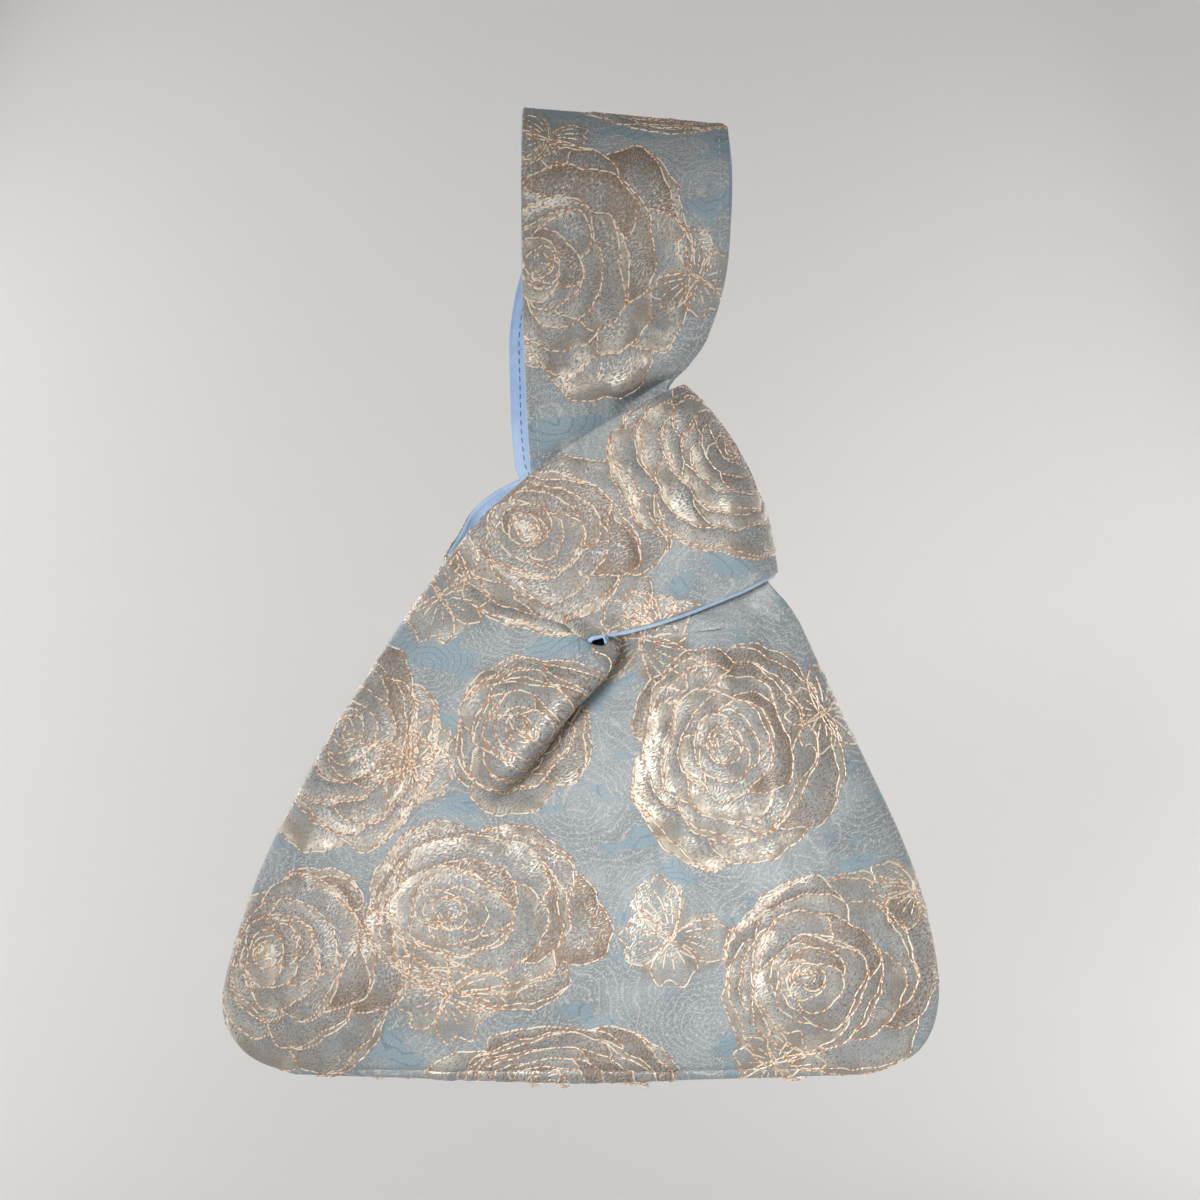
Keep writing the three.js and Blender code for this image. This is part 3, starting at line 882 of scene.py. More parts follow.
FIGURES: dict[tuple[Side, Arm], tuple[Figure, ...]] = {
    (Side.FRONT, Arm.SHORT): BODY_FIGURES
    + (
        PLEAT_ROSE,
        Rose(-23, -151, 39, turn=-14, tall=0.84, lean=0.33, lean_to=-36, seed=23),
        Rose(30, -120, 38, turn=-38, tall=0.80, lean=0.25, lean_to=215, seed=29),
        Butterfly(-64, -167, 21, turn=32),
        Butterfly(12, -178, 15, turn=-12),
    ),
    (Side.FRONT, Arm.LONG): BODY_FIGURES
    + (
        PLEAT_ROSE,
        Rose(-12, -54, 42, turn=90, tall=0.88, lean=0.40, lean_to=0, seed=31),
        Rose(17, 17, 31, turn=10, tall=0.7, lean=0.2, lean_to=60, seed=37),
        Rose(4, -128, 26, turn=0, tall=0.9, seed=41),
        Butterfly(-27, -10, 14, turn=-20),
        Butterfly(25, -57, 16, turn=60),
    ),
    (Side.BACK, Arm.SHORT): (
        Rose(-96, -292, 38, turn=10, tall=0.9, lean=0.3, lean_to=40, seed=43),
        BACK_LOW_ROSE,
        Rose(-84, -222, 37, turn=80, tall=0.9, lean_to=90, seed=53),
        BACK_MIDDLE_ROSE,
        Rose(-34, -152, 37, turn=45, tall=0.85, lean_to=10, seed=61),
        Rose(34, -122, 34, turn=-20, tall=0.9, lean_to=140, seed=67),
        Butterfly(-60, -262, 18, turn=30),
        Butterfly(-60, -176, 17, turn=-30),
        Butterfly(-126, -318, 17, turn=100),
    ),
    (Side.BACK, Arm.LONG): (
        BACK_LOW_ROSE,
        BACK_MIDDLE_ROSE,
        Rose(58, -286, 40, turn=50, tall=0.88, lean=0.3, lean_to=-80, seed=71),
        Rose(52, -214, 34, turn=0, tall=0.9, lean_to=120, seed=73),
        Rose(-10, -150, 27, turn=30, tall=0.9, seed=79),
        Rose(12, -62, 37, turn=60, tall=0.85, lean=0.3, lean_to=200, seed=83),
        Rose(-22, 10, 29, turn=10, tall=0.85, lean_to=30, seed=89),
        Butterfly(16, -254, 18, turn=-20),
        Butterfly(98, -318, 17, turn=60),
        Butterfly(-26, -86, 13, turn=10),
    ),
}


@dataclass(frozen=True)
class Crease:
    """A soft ridge, or hollow for a negative height, along a line of the flat cloth."""

    start: tuple[float, float]
    end: tuple[float, float]
    spread: float
    height: float
    arm: Arm | None = None

    def push(self, cloth: np.ndarray) -> np.ndarray:
        """How far the cloth moves outwards at each place.

        Args:
            cloth: Places on the flat cloth.

        Returns:
            Millimetres outwards.
        """
        a, b = np.array(self.start), np.array(self.end)
        run = b - a
        t = np.clip(((cloth - a) @ run) / (run @ run), 0, 1)
        away = np.linalg.norm(cloth - a - t[..., None] * run, axis=-1)
        taper = 0.45 + 0.55 * np.sin(math.pi * np.clip(t, 0, 1)) ** 0.7
        return self.height * taper * np.exp(-((away / self.spread) ** 2))


@dataclass(frozen=True)
class Ripple:
    """Long low waves all over a panel, with the way across them and where they start, both in degrees."""

    pitch: float
    way: float
    height: float
    start: float

    def push(self, cloth: np.ndarray) -> np.ndarray:
        """How far the cloth moves outwards at each place."""
        turns = 2 * math.pi * (cloth @ heading(self.way)) / self.pitch
        return self.height * np.sin(turns + math.radians(self.start))


@dataclass(frozen=True)
class Pleat:
    """The pinched fold that hangs over from the neckline, with a dark hollow on its lower right."""

    heading_deg: float = 231
    length: float = 60
    shift: float = 2.6
    keys: tuple[float, ...] = (-34, -20, -10, -4, -1, 0.8, 2.4, 4.0, 6.2, 9, 14, 22, 32)
    heights: tuple[float, ...] = (0, 1.8, 5.8, 9.6, 11.2, 10.8, 6.6, -0.6, -7.4, -9.0, -5.8, -1.6, 0)
    slides: tuple[float, ...] = (0, 0.3, 1.2, 2.4, 3.4, 4.4, 3.9, 2.4, 0.8, 0, 0, 0, 0)

    def section(self, values: tuple[float, ...], q: np.ndarray) -> np.ndarray:
        """Values at the keys, smoothed and read at places q across the fold.

        Args:
            values: The section at the keys.
            q: Places across the fold.

        Returns:
            The section at those places.
        """
        fine = np.linspace(self.keys[0], self.keys[-1], 400)
        blur = np.exp(-np.linspace(-2, 2, 13) ** 2)
        smooth = np.convolve(np.interp(fine, self.keys, values), blur / blur.sum(), mode="same")
        return np.interp(q, fine, smooth)

    def push(self, cloth: np.ndarray, neck: np.ndarray) -> tuple[np.ndarray, np.ndarray]:
        """How far the cloth moves outwards, and how far it slides across, at each place.

        Args:
            cloth: Places on the flat cloth.
            neck: The neckline's lowest point.

        Returns:
            Millimetres outwards, and the slide as a vector.
        """
        d = cloth - neck
        run, aside = heading(self.heading_deg), heading(self.heading_deg + 90)
        t = (d @ run) / self.length
        q = d @ aside - self.shift
        fade = smoothstep(t, -0.30, 0.15) * (1 - smoothstep(t, 0.80, 1.12))
        height, slide = self.section(self.heights, q), self.section(self.slides, q)
        height = np.where(height < 0, height * smoothstep(t, -0.05, 0.35), height)
        return height * fade, (slide * fade)[..., None] * aside


FRONT_CREASES: tuple[Crease, ...] = (
    Crease((42, -168), (66, -202), 5, -2.6, Arm.LONG),
    Crease((24, -176), (40, -206), 6, 2.2, Arm.LONG),
    Crease((54, -172), (76, -212), 5, 1.6, Arm.LONG),
    Crease((-56, -164), (-92, -210), 7, 1.6, Arm.SHORT),
    Crease((-20, -186), (-66, -190), 7, -1.8, Arm.SHORT),
    Crease((-60, -172), (-70, -214), 6, -1.4, Arm.SHORT),
    Crease((24, -86), (-8, -62), 5, -2.2, Arm.LONG),
    Crease((20, -98), (-14, -92), 6, 1.8, Arm.LONG),
    Crease((-30, -116), (2, -80), 7, 1.3, Arm.LONG),
    Crease((33, -66), (12, -44), 7, 1.4, Arm.LONG),
    Crease((23, -90), (0, -101), 4, -6.5, Arm.LONG),
    Crease((27, -75), (-2, -92), 4.5, 3.4, Arm.LONG),
    Crease((-8, -178), (34, -132), 9, -1.2, Arm.SHORT),
    Crease((-48, -148), (22, -122), 12, 1.4, Arm.SHORT),
    Crease((48, -156), (20, -140), 6, 1.2, Arm.SHORT),
    Crease((-70, -246), (-96, -300), 16, 1.6),
    Crease((52, -250), (88, -300), 16, 1.4),
    Crease((0, -236), (4, -300), 20, -1.2),
)

BACK_CREASES: tuple[Crease, ...] = (
    Crease((44, -168), (70, -208), 5, -2.4, Arm.LONG),
    Crease((26, -178), (48, -214), 7, 2.0, Arm.LONG),
    Crease((-54, -164), (-84, -208), 7, 2.0, Arm.SHORT),
    Crease((-22, -188), (-70, -204), 7, -2.0, Arm.SHORT),
    Crease((-16, -190), (10, -236), 9, 1.8),
    Crease((20, -92), (-16, -74), 6, -2.0, Arm.LONG),
    Crease((18, -104), (-20, -98), 7, 1.6, Arm.LONG),
    Crease((-6, -174), (36, -130), 9, -1.4, Arm.SHORT),
    Crease((-66, -250), (-100, -302), 18, 1.5),
    Crease((50, -240), (84, -300), 18, 1.5),
)

RIPPLES: dict[Side, tuple[Ripple, ...]] = {
    Side.FRONT: (Ripple(58, 12, 0.75, 40), Ripple(41, 118, 0.55, 200), Ripple(73, 64, 0.6, 310)),
    Side.BACK: (Ripple(61, 24, 0.75, 150), Ripple(44, 135, 0.55, 20), Ripple(70, 80, 0.6, 250)),
}


@dataclass
class Half:
    """One half of a panel as a grid: flat places, points in space and normals that face out of the bag."""

    arm: Arm
    u: np.ndarray
    cloth: np.ndarray
    points: np.ndarray
    normals: np.ndarray
    sign: int

    def inset(self, distance: float, outer: bool, first: int) -> tuple[np.ndarray, np.ndarray]:
        """A line inside an edge.

        Args:
            distance: How far inside the edge, in millimetres.
            outer: Whether it follows the outer edge and not the inner one.
            first: The grid row it starts from.

        Returns:
            Its points and the normals there.
        """
        way = 1 if outer else -1
        made, facing = [], []
        for row in range(first, len(self.u)):
            cloth = self.cloth[row, ::way]
            reach = path_length(cloth)
            for found, grid in ((made, self.points), (facing, self.normals)):
                found.append([np.interp(distance, reach, grid[row, ::way, k]) for k in range(3)])
        return np.array(made), unit(np.array(facing))


def grid_normals(p: np.ndarray) -> np.ndarray:
    """Unit cross product of a grid's direction across with its direction up."""
    return unit(np.cross(np.gradient(p, axis=1), np.gradient(p, axis=0)))


@dataclass
class PanelCloth:
    """The creased middle surface of one panel, front or back, at any fineness."""

    shape: BagShape
    side: Side
    body_rows: tuple[int, ...] = (18, 21, 29, 31, 27, 15, 12)
    notch_rows: int = 7
    band_rows: int = 86
    handle_rows: int = 74
    turn_rows: dict[Arm, int] = field(default_factory=lambda: {Arm.SHORT: 20, Arm.LONG: 42})
    crinkle_height: float = 0.24
    crinkle_pitch: float = 12
    crinkle_seed: int = 23
    seam_roll: float = 1.2
    seam_roll_place: float = 4.6
    back_shares: tuple[float, float, float] = (0.6, 0.45, 0.2)

    def rows(self, arm: Arm, scale: float) -> np.ndarray:
        """Row places of one half, about scale times 1.1 mm apart.

        Args:
            arm: Which half.
            scale: Spacing over 1.1 mm.

        Returns:
            The rows, from the bottom seam up.
        """
        neck, last = self.shape.neck_row, self.shape.rows(arm)
        parts = [np.zeros(1)]
        for i, steps in enumerate(self.body_rows):
            steps = max(2, round(steps / scale))
            t = np.arange(1, steps + 1) / steps
            parts.append(i + (t**2 if i == 0 else t))
        spans = [(neck, 0, 0.05, self.notch_rows), (neck, 0.05, 1, self.band_rows)]
        if arm is Arm.LONG:
            spans.append((neck + 1, 0, 1, self.handle_rows))
        spans.append((last, 0, 1, self.turn_rows[arm]))
        for start, low, high, steps in spans:
            parts.append(start + np.linspace(low, high, max(2, round(steps / scale)) + 1)[1:])
        return np.concatenate(parts)

    def creased(self, half: Half, a: np.ndarray) -> np.ndarray:
        """A half's points with the pleat, the creases and the crinkles laid in.

        Args:
            half: The smooth half.
            a: Share of the way from its outer to its inner edge.

        Returns:
            The moved points.
        """
        shape, arm, cloth = self.shape, half.arm, half.cloth
        front = self.side is Side.FRONT
        u = half.u[:, None] + 0 * a
        share = np.maximum(0, u - shape.neck_row)
        width = np.linalg.norm(cloth[:, -1] - cloth[:, 0], axis=-1)[:, None]
        body = 1 - smoothstep(share, 0, 0.08)
        edge = 1 - body + body * smoothstep(a * width, 3, 32)
        hold = edge * smoothstep(shape.rows(arm) + 0.4 - u, 0, 0.5) * smoothstep(u, 0, 1.6)
        push = sum(ripple.push(cloth) for ripple in RIPPLES[self.side]) * (0.5 + 0.5 * body)
        crinkle = Waves(self.crinkle_seed + self.side.value, self.crinkle_pitch)
        push = push + self.crinkle_height * crinkle(cloth)
        for crease in FRONT_CREASES if front else BACK_CREASES:
            if crease.arm in (None, arm):
                push = push + crease.push(cloth)
        away = np.linalg.norm(cloth - shape.notch, axis=-1)
        push = push * hold * (1 - np.exp(-((away / 7.0) ** 2)))
        stay = (1 - smoothstep(share, 0, 0.16 if arm is Arm.SHORT else 0.10)) * edge
        roll_share, lift_share, slide_share = (1.0, 1.0, 1.0) if front else self.back_shares
        above = cloth[..., 1] + shape.s.bag_drop
        middle = smoothstep(a * width, 14, 40) * smoothstep(shape.neck_row - u, 0, 1)
        roll = np.exp(-((above - self.seam_roll_place) ** 2)) * (1 + 0.25 * np.sin(cloth[..., 0] / 9))
        push = push - self.seam_roll * roll * middle * roll_share
        lift, slide = Pleat().push(cloth, shape.neck)
        lift = lift * stay * lift_share
        slide = slide * (stay * slide_share)[..., None]
        moved = half.points + half.normals * (push + lift)[..., None]
        moved[..., 0] += slide[..., 0]
        moved[..., 2] += slide[..., 1]
        return moved

    def halves(self, scale: float, columns: int) -> dict[Arm, Half]:
        """Both halves of the panel, meeting along the middle line up to the neckline.

        Args:
            scale: Row spacing over 1.1 mm.
            columns: Cells across each half.

        Returns:
            The two halves.
        """
        shape = self.shape
        even = np.linspace(0, 1, columns + 1)
        across = 0.6 * even + 0.4 * (1 - np.cos(even * math.pi / 2))
        made = {}
        for arm in Arm:
            rows = self.rows(arm, scale)
            u, a = np.meshgrid(rows, across, indexing="ij")
            points, cloth = shape.place(self.side, arm, u, a)
            sign = 1 if (arm is Arm.SHORT) == (self.side is Side.FRONT) else -1
            half = Half(arm, rows, cloth, points, grid_normals(points) * sign, sign)
            half.points = self.creased(half, a)
            half.normals = grid_normals(half.points) * sign
            made[arm] = half
        joined = int(np.sum(made[Arm.SHORT].u <= shape.neck_row + ON_ROW))
        short, long_ = made[Arm.SHORT], made[Arm.LONG]
        for grid in ("points", "normals"):
            first, second = getattr(short, grid), getattr(long_, grid)
            middle = (first[:joined, -1] + second[:joined, -1]) / 2
            first[:joined, -1] = second[:joined, -1] = middle if grid == "points" else unit(middle)
        for half in made.values():
            low = shape.seam + shape.inside * np.abs(half.normals[..., 1])
            half.points[..., 1] = self.side.value * np.maximum(np.abs(half.points[..., 1]), low)
        return made


@dataclass
class Welded:
    """Two halves as one list of vertices, with their faces and the loop of vertices round the edge.

    free is 0 along the seams, 1 along the open edges and 2 along the lower edge of the short arm.
    """

    index: dict[Arm, np.ndarray]
    faces: np.ndarray
    rim: np.ndarray
    free: np.ndarray
    keep: np.ndarray

    @classmethod
    def of(cls, halves: dict[Arm, Half], neck_row: int) -> "Welded":
        """Numbers the vertices of two halves so that the middle line is shared.

        Args:
            halves: The panel's halves.
            neck_row: The row where they part.

        Returns:
            The numbered panel.
        """
        short, long_ = halves[Arm.SHORT], halves[Arm.LONG]
        joined = int(np.sum(short.u <= neck_row + ON_ROW))
        shape_s, shape_l = short.points.shape[:2], long_.points.shape[:2]
        first = np.arange(shape_s[0] * shape_s[1]).reshape(shape_s)
        own = np.ones(shape_l, dtype=bool)
        own[:joined, -1] = False
        second = np.empty(shape_l, dtype=int)
        second[own] = first.size + np.arange(own.sum())
        second[:joined, -1] = first[:joined, -1]
        faces = []
        for grid, half in ((first, short), (second, long_)):
            quads = grid_quads(grid)
            faces.append(quads if half.sign > 0 else quads[:, ::-1])
        parts = (
            (first[::-1, 0], (short.u[::-1] > neck_row).astype(int)),
            (first[0, 1:], np.zeros(shape_s[1] - 1, dtype=int)),
            (second[0, -2::-1], np.zeros(shape_l[1] - 1, dtype=int)),
            (second[1:, 0], (long_.u[1:] > neck_row).astype(int)),
            (second[-1, 1:], np.zeros(shape_l[1] - 1, dtype=int)),
            (second[-2 : joined - 1 : -1, -1], np.ones(shape_l[0] - 1 - joined, dtype=int)),
            (first[joined - 1 :, -1], np.full(shape_s[0] - joined + 1, 2)),
            (first[-1, -2:0:-1], np.zeros(shape_s[1] - 2, dtype=int)),
        )
        rim = np.concatenate([part for part, _ in parts])
        free = np.concatenate([flag for _, flag in parts])
        return cls({Arm.SHORT: first, Arm.LONG: second}, np.concatenate(faces), rim, free, own)

    def gather(self, short: np.ndarray, long_: np.ndarray) -> np.ndarray:
        """Values of the two grids in the order of the shared vertices."""
        return np.concatenate([short.reshape((-1,) + short.shape[2:]), long_[self.keep]])


def out_of_edge(edge: np.ndarray, normals: np.ndarray, side: Side) -> np.ndarray:
    """Unit vectors that point away from the cloth, all round its edge."""
    along = unit(np.roll(edge, -1, axis=0) - np.roll(edge, 1, axis=0))
    return unit(np.cross(along, normals)) * -side.value


def edge_quads(first: np.ndarray, second: np.ndarray, side: Side) -> np.ndarray:
    """Faces between two rings of vertices round the edge of the cloth, that face out of it."""
    quads = np.stack([np.roll(first, -1), first, second, np.roll(second, -1)], axis=-1)
    return quads if side is Side.FRONT else quads[:, ::-1]


def mesh_object(name: str, points: np.ndarray, faces: Iterable[Sequence[int]]) -> bpy.types.Object:
    """A smooth-shaded mesh object from points in millimetres.

    Args:
        name: The object's name.
        points: Its vertices.
        faces: Vertex numbers, face by face.

    Returns:
        The object, linked to the scene.
    """
    mesh = bpy.data.meshes.new(name)
    mesh.from_pydata((points * MM).tolist(), [], [tuple(face) for face in faces])
    mesh.shade_smooth()
    mesh.update()
    made = bpy.data.objects.new(name, mesh)
    bpy.context.scene.collection.objects.link(made)
    return made


def give(target: bpy.types.Object, name: str, values: np.ndarray) -> None:
    """Stores a number for each vertex under a name the finishes read.

    Args:
        target: The mesh object.
        name: The attribute's name.
        values: A number, or three, for each vertex.
    """
    kind = "FLOAT" if values.ndim == 1 else "FLOAT_VECTOR"
    layer = target.data.attributes.new(name, kind, "POINT")
    layer.data.foreach_set("value" if values.ndim == 1 else "vector", values.astype(np.float32).ravel())


def flat_places(cloth: np.ndarray) -> np.ndarray:
    """Flat places in millimetres with a third coordinate of 0."""
    return np.concatenate([cloth, np.zeros(cloth.shape[:-1] + (1,))], axis=-1)


@dataclass
class CordWork:
    """The couched cord that outlines the figures of one panel."""

    width: float = 0.66
    height: float = 0.40
    step: float = 0.7
    twist: float = 2.6
    reach: float = 0.4
    sides: int = 5
    sunk: float = 0.12
    end_taper: float = 1.2
    loose_ends: int = 6

    def laid(self, half: Half, face: np.ndarray, figures: Iterable[Figure]) -> Lines:
        """The outlines that fall on a half, as lines of points on its face with their normals.

        Args:
            half: The half of the panel.
            face: Its outer face, as a grid of points.
            figures: The figures to outline.

        Returns:
            Points and normals of each line.
        """
        size = half.cloth.shape[:2]
        index = np.arange(size[0] * size[1]).reshape(size)
        quads = grid_quads(index)
        corners = np.concatenate([quads[:, [0, 1, 2]], quads[:, [0, 2, 3]]])
        flat = flat_places(half.cloth.reshape(-1, 2))
        tree = BVHTree.FromPolygons(flat.tolist(), corners.tolist())
        points, normals = face.reshape(-1, 3), half.normals.reshape(-1, 3)
        made = []
        for line in (line for figure in figures for line in figure.outlines()):
            length = path_length(line)
            count = int(length[-1] / self.step) + 2
            at = np.linspace(0, length[-1], count)
            even = np.stack([np.interp(at, length, line[:, k]) for k in (0, 1)], axis=-1)
            hits = [tree.find_nearest(Vector((x, z, 0)), self.reach) for x, z in even.tolist()]
            keep = np.array([hit[0] is not None for hit in hits])
            place, facing = np.zeros((count, 3)), np.zeros((count, 3))
            on = np.flatnonzero(keep)
            if not len(on):
                continue
            spot = np.array([hits[k][0][:2] for k in on])
            tri = corners[[hits[k][2] for k in on]]
            a, b, c = (flat[tri[:, k], :2] for k in range(3))
            whole = cross_flat(b - a, c - a)
            whole = np.where(np.abs(whole) < 1e-9, 1e-9, whole)
            wb, wc = cross_flat(spot - a, c - a) / whole, cross_flat(b - a, spot - a) / whole
            share = np.stack([1 - wb - wc, wb, wc], axis=-1)[..., None]
            place[on] = (points[tri] * share).sum(axis=1)
            facing[on] = unit((normals[tri] * share).sum(axis=1))
            for run in split(np.concatenate([place, facing], axis=-1), keep):
                made.append((run[:, :3], run[:, 3:]))
        return made

    def strays(self, half: Half, face: np.ndarray) -> Lines:
        """Loose ends of cord that stand out of the bottom seam.

        Args:
            half: The half of the panel.
            face: Its outer face, as a grid of points.

        Returns:
            Points and normals of each loose end.
        """
        rng = np.random.default_rng(9 if half.arm is Arm.SHORT else 10)
        made = []
        columns = np.arange(14, half.cloth.shape[1] - 2)
        for column in rng.choice(columns, self.loose_ends, replace=False):
            root, up = face[3, column], half.normals[3, column]
            t = np.linspace(0, 1, 12)[:, None]
            reach, way = rng.uniform(3, 8), rng.choice([-1, 1])
            sag = rng.uniform(-1.4, 1.0) * np.sin(2.4 * t) - 0.3 * t
            bend = np.concatenate([way * reach * t, 0 * t, sag], axis=-1)
            lift = 0.25 + rng.uniform(0.2, 0.7) * np.sin(math.pi * t)
            made.append((root + bend + up * lift, np.repeat(up[None], 12, axis=0)))
        return made

    def build(self, name: str, lines: Lines, material: bpy.types.Material) -> bpy.types.Object:
        """One object of half-round cords along the lines.

        Args:
            name: The object's name.
            lines: Points and normals of each cord.
            material: The cord's finish.

        Returns:
            The object.
        """
        turn = np.linspace(0, math.pi, self.sides)
        points, faces, run, round_ = [], [], [], []
        base = 0
        for count, (line, facing) in enumerate(lines):
            along = unit(np.gradient(line, axis=0))
            side = unit(np.cross(facing, along))
            length = path_length(line)
            phase = 2 * math.pi * length / self.twist + count
            wide = self.width / 2 * (1 + 0.08 * np.sin(phase) + 0.08 * np.sin(2.7 * phase + 1))
            wide = wide * np.minimum(1, 0.45 + np.minimum(length, length[-1] - length) / self.end_taper)
            tall = self.height * (1 + 0.12 * np.cos(phase))
            out = np.sin(turn) * tall[:, None] - self.sunk
            ring = swept(line, side, facing, np.cos(turn) * wide[:, None], out)
            index = base + np.arange(ring.shape[0] * self.sides).reshape(-1, self.sides)
            points.append(ring.reshape(-1, 3))
            quads = np.stack([index[:-1, :-1], index[1:, :-1], index[1:, 1:], index[:-1, 1:]], axis=-1)
            faces.append(quads.reshape(-1, 4))
            run.append(np.repeat(length + 7.3 * count, self.sides))
            round_.append(np.tile(turn / math.pi, len(line)))
            base += index.size
        made = mesh_object(name, np.concatenate(points), np.concatenate(faces).tolist())
        give(made, "run", np.concatenate(run))
        give(made, "round", np.concatenate(round_))
        made.data.materials.append(material)
        return made


@dataclass
class TopStitch:
    """Rows of short stitches just inside the arm edges of one panel."""

    inset: float = 3.0
    pitch: float = 3.3
    length: float = 2.5
    thick: float = 0.42
    sides: int = 6
    rings: int = 6
    past_neck: float = 0.03
    lead: float = 1.2
    arch: float = 0.32

    def rows(self, half: Half, neck_row: int) -> Lines:
        """The lines that the stitches follow, along both edges of an arm.

        Args:
            half: The half, with the points and normals of the face that shows the stitches.
            neck_row: The row where the halves part.

        Returns:
            Points and normals of each line.
        """
        first = int(np.argmax(half.u > neck_row + self.past_neck))
        return [half.inset(self.inset, outer, first) for outer in (True, False)]

    def build(self, name: str, lines: Lines, material: bpy.types.Material) -> bpy.types.Object:
        """One object with a stitch at each pitch of each line, given as points and their normals.

        Args:
            name: The object's name.
            lines: Points and normals of each row of stitches.
            material: The thread's finish.

        Returns:
            The object.
        """
        points, faces = [], []
        turn = np.linspace(0, 2 * math.pi, self.sides, endpoint=False)
        base = 0
        for line, facing in lines:
            length = path_length(line)
            for start in np.arange(self.lead, length[-1] - self.length, self.pitch):
                t = np.linspace(0, 1, self.rings)
                at = start + t * self.length
                spot = np.stack([np.interp(at, length, line[:, k]) for k in range(3)], axis=-1)
                up = unit(np.stack([np.interp(at, length, facing[:, k]) for k in range(3)], axis=-1))
                side = unit(np.cross(up, np.gradient(spot, axis=0)))
                thick = self.thick / 2 * (0.55 + 0.45 * np.sin(math.pi * t))
                centre = spot + up * (self.arch * np.sin(math.pi * t) - self.arch / 2)[:, None]
                ring = swept(centre, side, up, np.cos(turn) * thick[:, None], np.sin(turn) * thick[:, None])
                index = base + np.arange(self.rings * self.sides).reshape(self.rings, self.sides)
                after = np.roll(index, -1, axis=1)
                quads = np.stack([index[:-1], index[1:], after[1:], after[:-1]], axis=-1).reshape(-1, 4)
                faces += quads.tolist()
                faces += [index[0].tolist(), index[-1, ::-1].tolist()]
                points.append(ring.reshape(-1, 3))
                base += index.size
        made = mesh_object(name, np.concatenate(points), faces)
        made.data.materials.append(material)
        return made


def shade(red: int, green: int, blue: int) -> Colour:
    """A screen colour as the linear colour that a shader takes."""
    screen = (red / 255, green / 255, blue / 255)
    return (*(v / 12.92 if v <= 0.04045 else ((v + 0.055) / 1.055) ** 2.4 for v in screen), 1.0)


